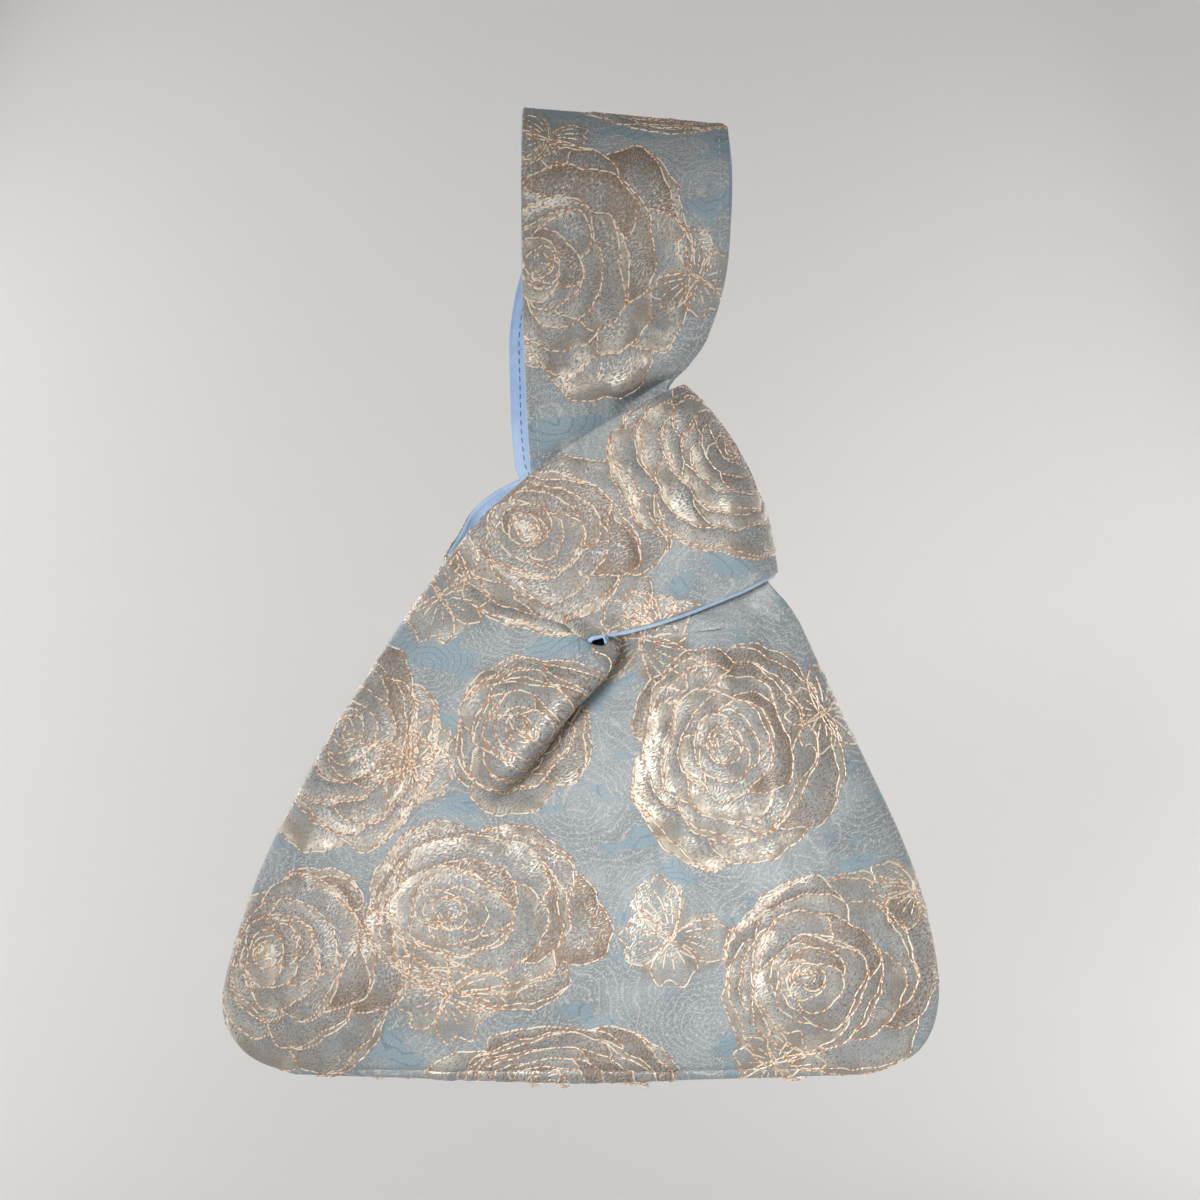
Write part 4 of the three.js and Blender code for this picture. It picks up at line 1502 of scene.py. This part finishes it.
class Graph:
    """Adds nodes to one material's or group's tree."""

    def __init__(self, tree: bpy.types.NodeTree) -> None:
        """Starts on a tree."""
        self.tree = tree

    def node(self, kind: str, **settings: object) -> bpy.types.Node:
        """A new node with its settings.

        Args:
            kind: Blender's name for the node.
            settings: Properties to set on it.

        Returns:
            The node.
        """
        made = self.tree.nodes.new(kind)
        for name, value in settings.items():
            setattr(made, name, value)
        return made

    def plug(self, socket: Socket, value: Plug) -> None:
        """Links a socket to another one, or sets its value.

        Args:
            socket: The socket that takes it.
            value: Another socket, or a constant.
        """
        if isinstance(value, Socket):
            self.tree.links.new(value, socket)
        else:
            socket.default_value = value

    def math(self, operation: str, first: Plug, second: Plug = 0.0) -> Socket:
        """One step of arithmetic.

        Args:
            operation: Blender's name for the step.
            first: The first number.
            second: The second number.

        Returns:
            The result.
        """
        made = self.node("ShaderNodeMath", operation=operation)
        self.plug(made.inputs[0], first)
        self.plug(made.inputs[1], second)
        return made.outputs[0]

    def spread(self, value: Plug, low: float, high: float, start: float = 0.0, end: float = 1.0) -> Socket:
        """Maps low to high onto start to end, smoothly and kept inside them.

        Args:
            value: The number to map.
            low: Where the map starts.
            high: Where it ends.
            start: What low becomes.
            end: What high becomes.

        Returns:
            The mapped number.
        """
        made = self.node("ShaderNodeMapRange", interpolation_type="SMOOTHSTEP")
        self.plug(made.inputs["Value"], value)
        for name, number in (("From Min", low), ("From Max", high), ("To Min", start), ("To Max", end)):
            made.inputs[name].default_value = number
        return made.outputs["Result"]

    def blend(self, share: Plug, first: Plug, second: Plug) -> Socket:
        """A colour between two, by a share.

        Args:
            share: 0 for the first colour, 1 for the second.
            first: A colour.
            second: A colour.

        Returns:
            The colour.
        """
        made = self.node("ShaderNodeMix", data_type="RGBA")
        self.plug(made.inputs[0], share)
        self.plug(made.inputs[6], first)
        self.plug(made.inputs[7], second)
        return made.outputs[2]

    def between(self, share: Plug, first: Plug, second: Plug) -> Socket:
        """A number between two, by a share.

        Args:
            share: 0 for the first number, 1 for the second.
            first: A number.
            second: A number.

        Returns:
            The number.
        """
        made = self.node("ShaderNodeMix", data_type="FLOAT")
        self.plug(made.inputs[0], share)
        self.plug(made.inputs[2], first)
        self.plug(made.inputs[3], second)
        return made.outputs[0]

    def noise(self, place: Socket, scale: float, detail: float = 2.0) -> Socket:
        """Smooth noise of about 0 to 1 over places.

        Args:
            place: The places.
            scale: Blobs to a unit of place.
            detail: Finer layers on top.

        Returns:
            The noise.
        """
        made = self.node("ShaderNodeTexNoise")
        self.plug(made.inputs["Vector"], place)
        made.inputs["Scale"].default_value = scale
        made.inputs["Detail"].default_value = detail
        return made.outputs["Fac"]

    def stretched(self, place: Socket, scale: tuple[float, float, float]) -> Socket:
        """Places scaled along each axis.

        Args:
            place: The places.
            scale: The three factors.

        Returns:
            The scaled places.
        """
        made = self.node("ShaderNodeVectorMath", operation="MULTIPLY")
        self.plug(made.inputs[0], place)
        made.inputs[1].default_value = scale
        return made.outputs[0]

    def dashes(self, place: Socket, degrees: float, long_: float, wide: float) -> Socket:
        """Noise of short strokes, long_ by wide millimetres, that run at an angle.

        Args:
            place: The places.
            degrees: The angle.
            long_: Length of a stroke.
            wide: Its width.

        Returns:
            The noise.
        """
        made = self.node("ShaderNodeVectorRotate", rotation_type="Z_AXIS")
        self.plug(made.inputs["Vector"], place)
        made.inputs["Angle"].default_value = math.radians(-degrees)
        return self.noise(self.stretched(made.outputs["Vector"], (1 / long_, 1 / wide, 1)), 1.0, 1.0)

    def strewn(self, strokes: Socket, share: Plug) -> Socket:
        """A mask of strokes that covers about a share of the cloth."""
        lifted = self.math("ADD", strokes, self.math("MULTIPLY", self.math("SUBTRACT", share, 0.5), 0.42))
        return self.spread(lifted, 0.46, 0.55)

    def number(self, name: str) -> Socket:
        """A number stored on the mesh."""
        return self.node("ShaderNodeAttribute", attribute_name=name).outputs["Fac"]

    def flat(self) -> Socket:
        """Places on the flat cloth in millimetres, from the mesh."""
        return self.node("ShaderNodeAttribute", attribute_name="flat").outputs["Vector"]

    def apart(self, place: Socket) -> tuple[Socket, ...]:
        """The three numbers of a place.

        Args:
            place: The place.

        Returns:
            Its X, Y and Z.
        """
        made = self.node("ShaderNodeSeparateXYZ")
        self.plug(made.inputs[0], place)
        return tuple(made.outputs)


@dataclass
class Effect:
    """A node group that more than one finish uses, with its inputs and outputs by name."""

    name: str
    inputs: dict[str, tuple[str, Plug]]
    outputs: dict[str, str]
    draw: Callable[[Graph, dict[str, Socket]], dict[str, Socket]]

    def group(self) -> bpy.types.NodeTree:
        """The group, made the first time it is asked for.

        Returns:
            The group.
        """
        if self.name in bpy.data.node_groups:
            return bpy.data.node_groups[self.name]
        tree = bpy.data.node_groups.new(self.name, "ShaderNodeTree")
        for name, (kind, value) in self.inputs.items():
            socket = tree.interface.new_socket(name, in_out="INPUT", socket_type=kind)
            if value is not None:
                socket.default_value = value
        for name, kind in self.outputs.items():
            tree.interface.new_socket(name, in_out="OUTPUT", socket_type=kind)
        graph = Graph(tree)
        source, sink = graph.node("NodeGroupInput"), graph.node("NodeGroupOutput")
        for name, socket in self.draw(graph, {name: source.outputs[name] for name in self.inputs}).items():
            graph.plug(sink.inputs[name], socket)
        return tree

    def placed(self, graph: Graph, **values: Plug) -> dict[str, Socket]:
        """The group placed in a finish with its own values.

        Args:
            graph: The finish's graph.
            values: Its inputs by name, with _ for a space.

        Returns:
            Its outputs by name.
        """
        node = graph.node("ShaderNodeGroup")
        node.node_tree = self.group()
        for name, value in values.items():
            graph.plug(node.inputs[name.replace("_", " ")], value)
        return {name: node.outputs[name] for name in self.outputs}


def draw_weave(graph: Graph, given: dict[str, Socket]) -> dict[str, Socket]:
    """Warp and weft threads that pass over and under each other, with uneven yarn.

    Args:
        graph: The group's graph.
        given: The group's inputs.

    Returns:
        The thread's height, and the yarn's unevenness.
    """
    x, z, _ = graph.apart(given["Place"])
    turn = graph.math("DIVIDE", 2 * math.pi, given["Pitch"])
    warp = graph.math("SINE", graph.math("MULTIPLY", x, turn))
    weft = graph.math("SINE", graph.math("MULTIPLY", z, turn))
    cross = graph.math("MULTIPLY", warp, weft)
    slub = graph.noise(graph.stretched(given["Place"], (2.2, 0.5, 1)), 1.0, 3)
    height = graph.math("ADD", graph.math("MULTIPLY", cross, 0.5), graph.math("MULTIPLY", slub, 0.9))
    return {"Height": height, "Slub": graph.spread(slub, 0.35, 0.65)}


WEAVE = Effect(
    "Weave",
    {"Place": ("NodeSocketVector", None), "Pitch": ("NodeSocketFloat", 0.5)},
    {"Height": "NodeSocketFloat", "Slub": "NodeSocketFloat"},
    draw_weave,
)


def draw_blotches(graph: Graph, given: dict[str, Socket]) -> dict[str, Socket]:
    """Broad soft blotches of noise.

    Args:
        graph: The group's graph.
        given: The group's inputs.

    Returns:
        How far into a blotch each place is.
    """
    broad = graph.noise(given["Place"], 0.035, 4)
    fine = graph.noise(given["Place"], 0.22, 3)
    both = graph.math("ADD", graph.math("MULTIPLY", broad, 0.7), graph.math("MULTIPLY", fine, 0.3))
    return {"Worn": graph.math("MULTIPLY", graph.spread(both, 0.42, 0.62), given["Amount"])}


BLOTCHES = Effect(
    "Blotches",
    {"Place": ("NodeSocketVector", None), "Amount": ("NodeSocketFloat", 1.0)},
    {"Worn": "NodeSocketFloat"},
    draw_blotches,
)


def new_material(name: str, colour: Colour) -> tuple[bpy.types.Material, Graph, bpy.types.Node]:
    """A material with its nodes cleared down to one Principled shader.

    Args:
        name: The material's name.
        colour: Its colour in the viewport.

    Returns:
        The material, its graph and its shader.
    """
    material = bpy.data.materials.new(name)
    material.use_nodes = True
    material.diffuse_color = colour
    graph = Graph(material.node_tree)
    material.node_tree.nodes.clear()
    shader = graph.node("ShaderNodeBsdfPrincipled")
    output = graph.node("ShaderNodeOutputMaterial")
    graph.plug(output.inputs["Surface"], shader.outputs["BSDF"])
    return material, graph, shader


def raise_from(graph: Graph, shader: bpy.types.Node, height: Plug, depth: float) -> None:
    """Bumps a shader's surface by a height, depth metres from 0 to 1.

    Args:
        graph: The material's graph.
        shader: Its shader.
        height: The height.
        depth: Metres from height 0 to 1.
    """
    bump = graph.node("ShaderNodeBump")
    bump.inputs["Strength"].default_value = 1.0
    bump.inputs["Distance"].default_value = depth
    graph.plug(bump.inputs["Height"], height)
    graph.plug(shader.inputs["Normal"], bump.outputs["Normal"])


@dataclass(frozen=True)
class BrocadeFinish:
    """Blue-grey ground with sky patches and pale strokes, and copper and gold strokes in the figures."""

    ground: Colour = shade(136, 143, 147)
    ground_light: Colour = shade(157, 164, 167)
    ground_dark: Colour = shade(88, 100, 108)
    sky: Colour = shade(140, 166, 178)
    pale: Colour = shade(208, 207, 202)
    # gold and gold_dim are the two ends of the painted glints on the gold thread.
    gold: Colour = shade(222, 211, 195)
    gold_dim: Colour = shade(186, 170, 150)
    copper: Colour = shade(146, 118, 96)
    relief: float = 0.00014

    def material(self) -> bpy.types.Material:
        """The brocade's material.

        Returns:
            The material.
        """
        material, graph, shader = new_material("Brocade", self.ground)
        place = graph.flat()
        gold, copper = graph.number("gold"), graph.number("copper")
        on = graph.spread(gold, 0.0, 0.25)
        plain = graph.math("SUBTRACT", 1.0, on)
        weave = WEAVE.placed(graph, Place=place, Pitch=0.55)
        blotch = BLOTCHES.placed(graph, Place=place, Amount=0.8)["Worn"]
        drift = graph.noise(place, 0.05, 2)
        patch = graph.spread(graph.noise(graph.stretched(place, (0.7, 1.3, 1)), 0.06, 3), 0.55, 0.60)
        sky_share = graph.math("MULTIPLY", patch, graph.math("MULTIPLY", plain, 0.6))
        base = graph.blend(graph.spread(drift, 0.35, 0.65), self.ground, self.ground_light)
        base = graph.blend(sky_share, base, self.sky)
        ghost = graph.math("MULTIPLY", self.ghosts(graph, place), plain)
        ghost_thread = graph.blend(patch, self.pale, self.ground_dark)
        base = graph.blend(graph.math("MULTIPLY", ghost, 0.4), base, ghost_thread)
        first, second = graph.dashes(place, 58, 1.3, 0.42), graph.dashes(place, 22, 1.3, 0.42)
        strokes = graph.between(graph.spread(graph.noise(place, 0.09, 1), 0.47, 0.53), first, second)
        cover = graph.math("MAXIMUM", gold, graph.between(patch, 0.33, 0.08))
        bright = graph.strewn(strokes, cover)
        dark = graph.strewn(graph.dashes(place, 35, 0.8, 0.45), 0.22)
        base = graph.blend(graph.math("MULTIPLY", dark, 0.45), base, self.ground_dark)
        brown = graph.strewn(graph.dashes(place, 75, 1.1, 0.6), copper)
        brown = graph.math("MULTIPLY", brown, graph.spread(copper, 0.0, 0.1))
        base = graph.blend(graph.math("MULTIPLY", brown, 0.8), base, self.copper)
        # Painted glints: the gold thread turns from gold_dim to full gold in broad noise patches, standing in
        # for light off the metal.
        painted_glint = graph.spread(graph.noise(graph.stretched(place, (1.0, 0.6, 1)), 0.13, 2), 0.42, 0.60)
        thread = graph.blend(on, self.pale, graph.blend(painted_glint, self.gold_dim, self.gold))
        base = graph.blend(graph.math("MULTIPLY", bright, graph.between(on, 0.7, 0.82)), base, thread)
        graph.plug(shader.inputs["Base Color"], base)
        metal = graph.math("MULTIPLY", graph.math("MAXIMUM", bright, brown), graph.math("MULTIPLY", on, 0.6))
        graph.plug(shader.inputs["Metallic"], metal)
        rough = graph.between(graph.math("MULTIPLY", bright, on), 0.56, 0.34)
        graph.plug(shader.inputs["Roughness"], graph.math("ADD", rough, graph.math("MULTIPLY", blotch, 0.08)))
        shader.inputs["Sheen Weight"].default_value = 0.12
        shader.inputs["Sheen Roughness"].default_value = 0.5
        woven, laid = graph.math("MULTIPLY", weave["Height"], 0.35), graph.math("MULTIPLY", bright, 0.6)
        raise_from(graph, shader, graph.math("ADD", woven, laid), self.relief)
        return material

    def ghosts(self, graph: Graph, place: Socket) -> Socket:
        """Thin arcs one inside the other, like the rims of petals woven into the ground.

        Args:
            graph: The material's graph.
            place: Places on the flat cloth.

        Returns:
            A mask of the arcs.
        """
        cells = graph.node("ShaderNodeTexVoronoi")
        graph.plug(cells.inputs["Vector"], graph.stretched(place, (1.0, 1.15, 1)))
        cells.inputs["Scale"].default_value = 0.03
        wander = graph.math("MULTIPLY", graph.noise(place, 0.07, 2), 3.2)
        rings = graph.math("ADD", graph.math("MULTIPLY", cells.outputs["Distance"], 15.0), wander)
        line = graph.math("ABSOLUTE", graph.math("SUBTRACT", graph.math("FRACT", rings), 0.5))
        return graph.spread(line, 0.12, 0.04)


@dataclass(frozen=True)
class SatinFinish:
    """The smooth pale-blue lining."""

    colour: Colour = shade(196, 218, 244)
    deep: Colour = shade(150, 184, 226)
    relief: float = 0.00005

    def material(self) -> bpy.types.Material:
        """The lining's material.

        Returns:
            The material.
        """
        material, graph, shader = new_material("Lining satin", self.colour)
        place = graph.flat()
        weave = WEAVE.placed(graph, Place=place, Pitch=0.35)
        blotch = BLOTCHES.placed(graph, Place=place, Amount=1.0)["Worn"]
        # The lining darkens towards its deep colour, and roughens, in the broad soft blotches.
        tone = graph.blend(graph.math("MULTIPLY", blotch, 0.5), self.colour, self.deep)
        colour = graph.blend(graph.math("MULTIPLY", weave["Slub"], 0.25), tone, self.deep)
        graph.plug(shader.inputs["Base Color"], colour)
        graph.plug(shader.inputs["Roughness"], graph.between(blotch, 0.34, 0.46))
        shader.inputs["Sheen Weight"].default_value = 0.1
        raise_from(graph, shader, weave["Height"], self.relief)
        return material


@dataclass(frozen=True)
class CordFinish:
    """Twisted cord of copper and pale gold plies."""

    copper: Colour = shade(196, 150, 118)
    bronze: Colour = shade(160, 112, 82)
    pale: Colour = shade(248, 236, 216)
    pitch: float = 0.8
    relief: float = 0.00008

    def twist(self, graph: Graph) -> tuple[Socket, Socket]:
        """Plies that wind round the cord, one after the other, mixed out of their order.

        Args:
            graph: The material's graph.

        Returns:
            How far out the ply stands, and a number of the ply's own from 0 to 1.
        """
        laps = graph.math("DIVIDE", graph.number("run"), self.pitch)
        wound = graph.math("ADD", laps, graph.number("round"))
        ridge = graph.math("SINE", graph.math("MULTIPLY", graph.math("FRACT", wound), math.pi))
        ply = graph.math("FLOOR", wound)
        other = graph.math("MULTIPLY", graph.math("FRACT", graph.math("MULTIPLY", ply, 0.5)), 2.0)
        wave = graph.math("SINE", graph.math("MULTIPLY", ply, 12.9))
        mixed = graph.math("FRACT", graph.math("MULTIPLY", wave, 43.7))
        return ridge, graph.between(0.85, other, mixed)

    def material(self) -> bpy.types.Material:
        """The cord's material.

        Returns:
            The material.
        """
        material, graph, shader = new_material("Couched cord", self.copper)
        ridge, ply = self.twist(graph)
        dull = graph.blend(graph.spread(ply, 0.2, 0.8), self.copper, self.bronze)
        bright = graph.spread(ply, 0.34, 0.46)
        colour = graph.blend(bright, dull, self.pale)
        # Painted shade: the grooves between the plies darken towards copper.
        colour = graph.blend(graph.spread(ridge, 0.3, 0.0), colour, self.copper)
        graph.plug(shader.inputs["Base Color"], colour)
        shader.inputs["Metallic"].default_value = 0.35
        graph.plug(shader.inputs["Roughness"], graph.between(bright, 0.55, 0.36))
        raise_from(graph, shader, ridge, self.relief)
        return material


@dataclass(frozen=True)
class ThreadFinish:
    """Sewing thread, pale on the brocade or blue on the lining."""

    name: str
    colour: Colour

    def material(self) -> bpy.types.Material:
        """The thread's material.

        Returns:
            The material.
        """
        material, graph, shader = new_material(self.name, self.colour)
        place = graph.stretched(graph.node("ShaderNodeTexCoord").outputs["Object"], (1 / MM, 1 / MM, 1 / MM))
        ply = graph.noise(place, 2.5, 2)
        dark = tuple(v * 0.6 for v in self.colour[:3]) + (1.0,)
        graph.plug(shader.inputs["Base Color"], graph.blend(graph.spread(ply, 0.4, 0.65), self.colour, dark))
        graph.plug(shader.inputs["Roughness"], graph.between(ply, 0.4, 0.65))
        return material


@dataclass(frozen=True)
class PaperFinish:
    """The seamless pale backdrop."""

    colour: Colour = shade(226, 224, 222)

    def material(self) -> bpy.types.Material:
        """The backdrop's material.

        Returns:
            The material.
        """
        material, graph, shader = new_material("Backdrop paper", self.colour)
        place = graph.node("ShaderNodeTexCoord").outputs["Object"]
        tone = tuple(v * 0.97 for v in self.colour[:3]) + (1.0,)
        graph.plug(shader.inputs["Base Color"], graph.blend(graph.noise(place, 1.5, 2), self.colour, tone))
        graph.plug(shader.inputs["Roughness"], graph.between(graph.noise(place, 3.0, 1), 0.85, 0.95))
        return material


@dataclass
class Finishes:
    """Every finish on the bag, made once."""

    brocade: bpy.types.Material = field(default_factory=lambda: BrocadeFinish().material())
    satin: bpy.types.Material = field(default_factory=lambda: SatinFinish().material())
    cord: bpy.types.Material = field(default_factory=lambda: CordFinish().material())
    pale_thread: bpy.types.Material = field(
        default_factory=lambda: ThreadFinish("Pale thread", shade(206, 208, 206)).material()
    )
    blue_thread: bpy.types.Material = field(
        default_factory=lambda: ThreadFinish("Blue thread", shade(92, 128, 184)).material()
    )


@dataclass
class BrocadePanel:
    """The outer ply of one panel with its figures, cords and top stitching."""

    cloth: PanelCloth
    face: float = 0.95
    puff: float = 0.85
    scale: float = 1.0
    columns: int = 116
    flat_size: tuple[float, float] = (0.25, 0.355)
    flat_area: float = 0.0568
    # For each ring of the turned edge its way out where the edge is open, its way down, its way out at a seam
    turns: ClassVar[tuple[tuple[float, float, float], ...]] = (
        (0.35, -0.30, 0.04),
        (0.30, -0.80, 0.02),
        (-0.50, -1.10, -0.25),
    )

    @property
    def name(self) -> str:
        """The panel's name, the same as its solid's."""
        return f"{self.cloth.side.name.lower()}_panel"

    def painted(self, half: Half) -> Field:
        """What the figures do to each place of a half, faded out at its edges.

        Args:
            half: The half of the panel.

        Returns:
            The field over its grid.
        """
        places = half.cloth.reshape(-1, 2)
        painted = Field.blank(len(places))
        for figure in FIGURES[(self.cloth.side, half.arm)]:
            figure.paint(places, painted)
        a = np.linspace(0, 1, half.cloth.shape[1])[None, :]
        width = np.linalg.norm(half.cloth[:, -1] - half.cloth[:, 0], axis=-1)[:, None]
        inner = half.u[:, None] > self.cloth.shape.neck_row
        near = np.minimum(a * width, np.where(inner, (1 - a) * width, 99))
        calm = smoothstep(near, 0.2, 2.2) * smoothstep(half.u, 0, 0.15)[:, None]
        painted.puff *= calm.reshape(-1)
        return painted

    def rim_rings(
        self, weld: Welded, points: np.ndarray, normals: np.ndarray
    ) -> tuple[np.ndarray, np.ndarray]:
        """Vertices and faces that turn the edge of the cloth under.

        Args:
            weld: The panel's vertex numbers.
            points: Its outer face.
            normals: The normals there.

        Returns:
            The added vertices and the added faces.
        """
        loop, n = points[weld.rim], normals[weld.rim]
        out = out_of_edge(loop, n, self.cloth.side)
        free = (weld.free[:, None] > 0).astype(float)
        rings = [loop + out * (free * f + (1 - free) * s) + n * down for f, down, s in self.turns]
        count = len(loop)
        numbers = [weld.rim] + [len(points) + k * count + np.arange(count) for k in range(len(rings))]
        faces = [edge_quads(*pair, self.cloth.side) for pair in zip(numbers, numbers[1:])]
        return np.concatenate(rings), np.concatenate(faces)

    def build(self, finishes: Finishes) -> list[bpy.types.Object]:
        """Makes the panel, its cords and its stitches, and sets them on the frame.

        Args:
            finishes: The finishes to dress them with.

        Returns:
            The three pieces.
        """
        shape, side = self.cloth.shape, self.cloth.side
        halves = self.cloth.halves(self.scale, self.columns)
        weld = Welded.of(halves, shape.neck_row)
        painted = {arm: self.painted(half) for arm, half in halves.items()}
        faces = {}
        for arm, half in halves.items():
            puff = painted[arm].puff.reshape(half.cloth.shape[:2])[..., None] * self.puff
            faces[arm] = half.points + half.normals * (self.face + puff)
        both = (halves[Arm.SHORT], halves[Arm.LONG])
        points = weld.gather(*(faces[half.arm] for half in both))
        normals = weld.gather(*(half.normals for half in both))
        flat = weld.gather(*(half.cloth for half in both))
        rings, rim_faces = self.rim_rings(weld, points, normals)
        places, cells = np.concatenate([points, rings]), np.concatenate([weld.faces, rim_faces])
        panel = mesh_object(self.name + "_cloth", places, cells)
        repeat = np.tile(weld.rim, len(self.turns))
        give(panel, "flat", np.concatenate([flat_places(flat), flat_places(flat[repeat])]))
        for name in ("gold", "copper"):
            grids = (getattr(painted[half.arm], name).reshape(half.cloth.shape[:2]) for half in both)
            values = weld.gather(*grids)
            give(panel, name, np.concatenate([values, values[repeat]]))
        panel.data.materials.append(finishes.brocade)
        work, stitch, lines, seams = CordWork(), TopStitch(), [], []
        for half in both:
            lines += work.laid(half, faces[half.arm], FIGURES[(side, half.arm)])
            lines += work.strays(half, faces[half.arm])
            seams += stitch.rows(replace(half, points=faces[half.arm]), shape.neck_row)
        cords = work.build(f"{side.name.lower()}_cords", lines, finishes.cord)
        stitches = stitch.build(f"{side.name.lower()}_stitches", seams, finishes.pale_thread)
        for piece in (panel, cords, stitches):
            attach(piece, ROOT)
        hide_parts(self.name)
        return [panel, cords, stitches]


@dataclass
class LiningPly:
    """The lining of one panel, a closed thin ply just inside the brocade."""

    cloth: PanelCloth
    outside: float = -0.15
    inside: float = -0.65
    past_edge: float = 0.55
    past_band: float = 1.5
    scale: float = 2.0
    columns: int = 56
    flat_size: tuple[float, float] = (0.25, 0.355)
    flat_area: float = 0.0559

    @property
    def name(self) -> str:
        """The ply's name, the same as its solid's."""
        return f"{self.cloth.side.name.lower()}_lining"

    def build(self, finishes: Finishes) -> list[bpy.types.Object]:
        """Makes the ply with its rows of stitches and sets them on the frame.

        Args:
            finishes: The finishes to dress them with.

        Returns:
            The two pieces.
        """
        shape = self.cloth.shape
        halves = self.cloth.halves(self.scale, self.columns)
        weld = Welded.of(halves, shape.neck_row)
        both = (halves[Arm.SHORT], halves[Arm.LONG])
        middle = weld.gather(*(half.points for half in both))
        normals = weld.gather(*(half.normals for half in both))
        flat = weld.gather(*(half.cloth for half in both))
        out = out_of_edge(middle[weld.rim], normals[weld.rim], self.cloth.side)
        reach = np.array([0.0, self.past_edge, self.past_band])[weld.free]
        middle[weld.rim] += out * reach[:, None]
        points = np.concatenate([middle + normals * self.outside, middle + normals * self.inside])
        count = len(middle)
        wall = edge_quads(weld.rim, weld.rim + count, self.cloth.side)
        faces = np.concatenate([weld.faces, weld.faces[:, ::-1] + count, wall])
        ply = mesh_object(self.name + "_cloth", points, faces)
        give(ply, "flat", np.concatenate([flat_places(flat)] * 2))
        ply.data.materials.append(finishes.satin)
        stitch, seams = TopStitch(), []
        for half in both:
            under = replace(half, points=half.points + half.normals * self.inside, normals=-half.normals)
            seams += stitch.rows(under, shape.neck_row)
        stitches = stitch.build(self.name + "_stitches", seams, finishes.blue_thread)
        for piece in (ply, stitches):
            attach(piece, ROOT)
        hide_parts(self.name)
        return [ply, stitches]


@dataclass
class Studio:
    """The pale sweep, the soft lights and the camera."""

    centre: tuple[float, float] = (-0.0088, -0.1681)
    distance: float = 0.997
    lens: float = 85.0
    wall: float = 1.6
    floor: float = -0.62
    sweep: float = 0.45
    half_width: float = 2.6

    def backdrop(self) -> bpy.types.Object:
        """A floor that sweeps up into the wall behind the bag.

        Returns:
            The sweep.
        """
        profile = [(-2.4, self.floor), (self.wall - self.sweep, self.floor)]
        for angle in np.linspace(0, math.pi / 2, 24)[1:]:
            rise = self.sweep * (1 - math.cos(angle))
            profile.append((self.wall - self.sweep * (1 - math.sin(angle)), self.floor + rise))
        profile.append((self.wall, 2.2))
        xs = np.linspace(-self.half_width, self.half_width, 9)
        points = np.array([[x, y, z] for y, z in profile for x in xs]) / MM
        index = np.arange(len(points)).reshape(len(profile), len(xs))
        sweep = mesh_object("backdrop", points, grid_quads(index))
        sweep.data.materials.append(PaperFinish().material())
        sweep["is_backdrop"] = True
        return sweep

    def camera(self) -> None:
        """The camera straight in front of the bag, as in the photograph."""
        data = bpy.data.cameras.new("camera")
        data.lens, data.sensor_width = self.lens, 36.0
        made = bpy.data.objects.new("camera", data)
        made.location = (self.centre[0], -self.distance, self.centre[1])
        made.rotation_euler = (math.pi / 2, 0, 0)
        bpy.context.scene.collection.objects.link(made)
        bpy.context.scene.camera = made

    def light(
        self,
        name: str,
        place: tuple[float, float, float],
        size: float,
        power: float,
        aim: tuple[float, float, float],
        spread: float = 180.0,
    ) -> None:
        """A square soft light that faces a point.

        Args:
            name: The light's name.
            place: Where it stands, in metres.
            size: Its side in metres.
            power: Its power in watts.
            aim: The point it faces.
            spread: The beam's angle in degrees.
        """
        data = bpy.data.lights.new(name, "AREA")
        data.size, data.energy, data.spread = size, power, math.radians(spread)
        made = bpy.data.objects.new(name, data)
        made.location = place
        made.rotation_euler = (Vector(aim) - Vector(place)).to_track_quat("-Z", "Y").to_euler()
        bpy.context.scene.collection.objects.link(made)

    def build(self) -> None:
        """Sets up the whole studio."""
        self.camera()
        self.backdrop()
        bag = (self.centre[0] + 0.035, 0.0, self.centre[1] - 0.09)
        low = (self.centre[0] + 0.105, 0.0, self.centre[1] - 0.12)
        self.light("key", (-0.38, -1.12, -0.20), 0.30, 0.64, low, 34.0)
        self.light("fill", (0.1, -1.4, 0.2), 0.9, 3.0, bag)
        self.light("wall_left", (-1.35, 0.45, -0.50), 0.9, 13.6, (-0.25, self.wall, -0.62))
        self.light("wall_right", (1.35, 0.45, -0.50), 0.9, 13.2, (0.25, self.wall, -0.62))
        self.light("rear_left", (-1.0, 1.25, 0.35), 0.8, 7.0, bag)
        self.light("rear_right", (1.0, 1.25, 0.1), 0.8, 5.0, bag)
        world = bpy.data.worlds.new("world")
        world.use_nodes = True
        world.node_tree.nodes["Background"].inputs["Color"].default_value = (1.0, 1.0, 1.0, 1.0)
        world.node_tree.nodes["Background"].inputs["Strength"].default_value = 0.2
        bpy.context.scene.world = world
        bpy.context.scene.view_settings.view_transform = "Standard"


def corners() -> list[list[float]]:
    """The lowest and highest corner of what shows, as plain lists."""
    return [[float(v) for v in corner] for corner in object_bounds()]


def main() -> None:
    """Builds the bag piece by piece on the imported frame."""
    logging.basicConfig(level=logging.INFO, format="%(name)s: %(message)s")
    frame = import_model()
    LOG.info("frame loaded with nodes %s", ", ".join(sorted(frame["nodes"])))
    shape = BagShape(BagSizes())
    finishes = Finishes()
    for side in Side:
        cloth = PanelCloth(shape, side)
        for part in (BrocadePanel(cloth), LiningPly(cloth)):
            for piece in part.build(finishes):
                LOG.info("%s: %d faces", piece.name, len(piece.data.polygons))
    Studio().build()
    LOG.info("sizes written")


if __name__ == "__main__":
    main()
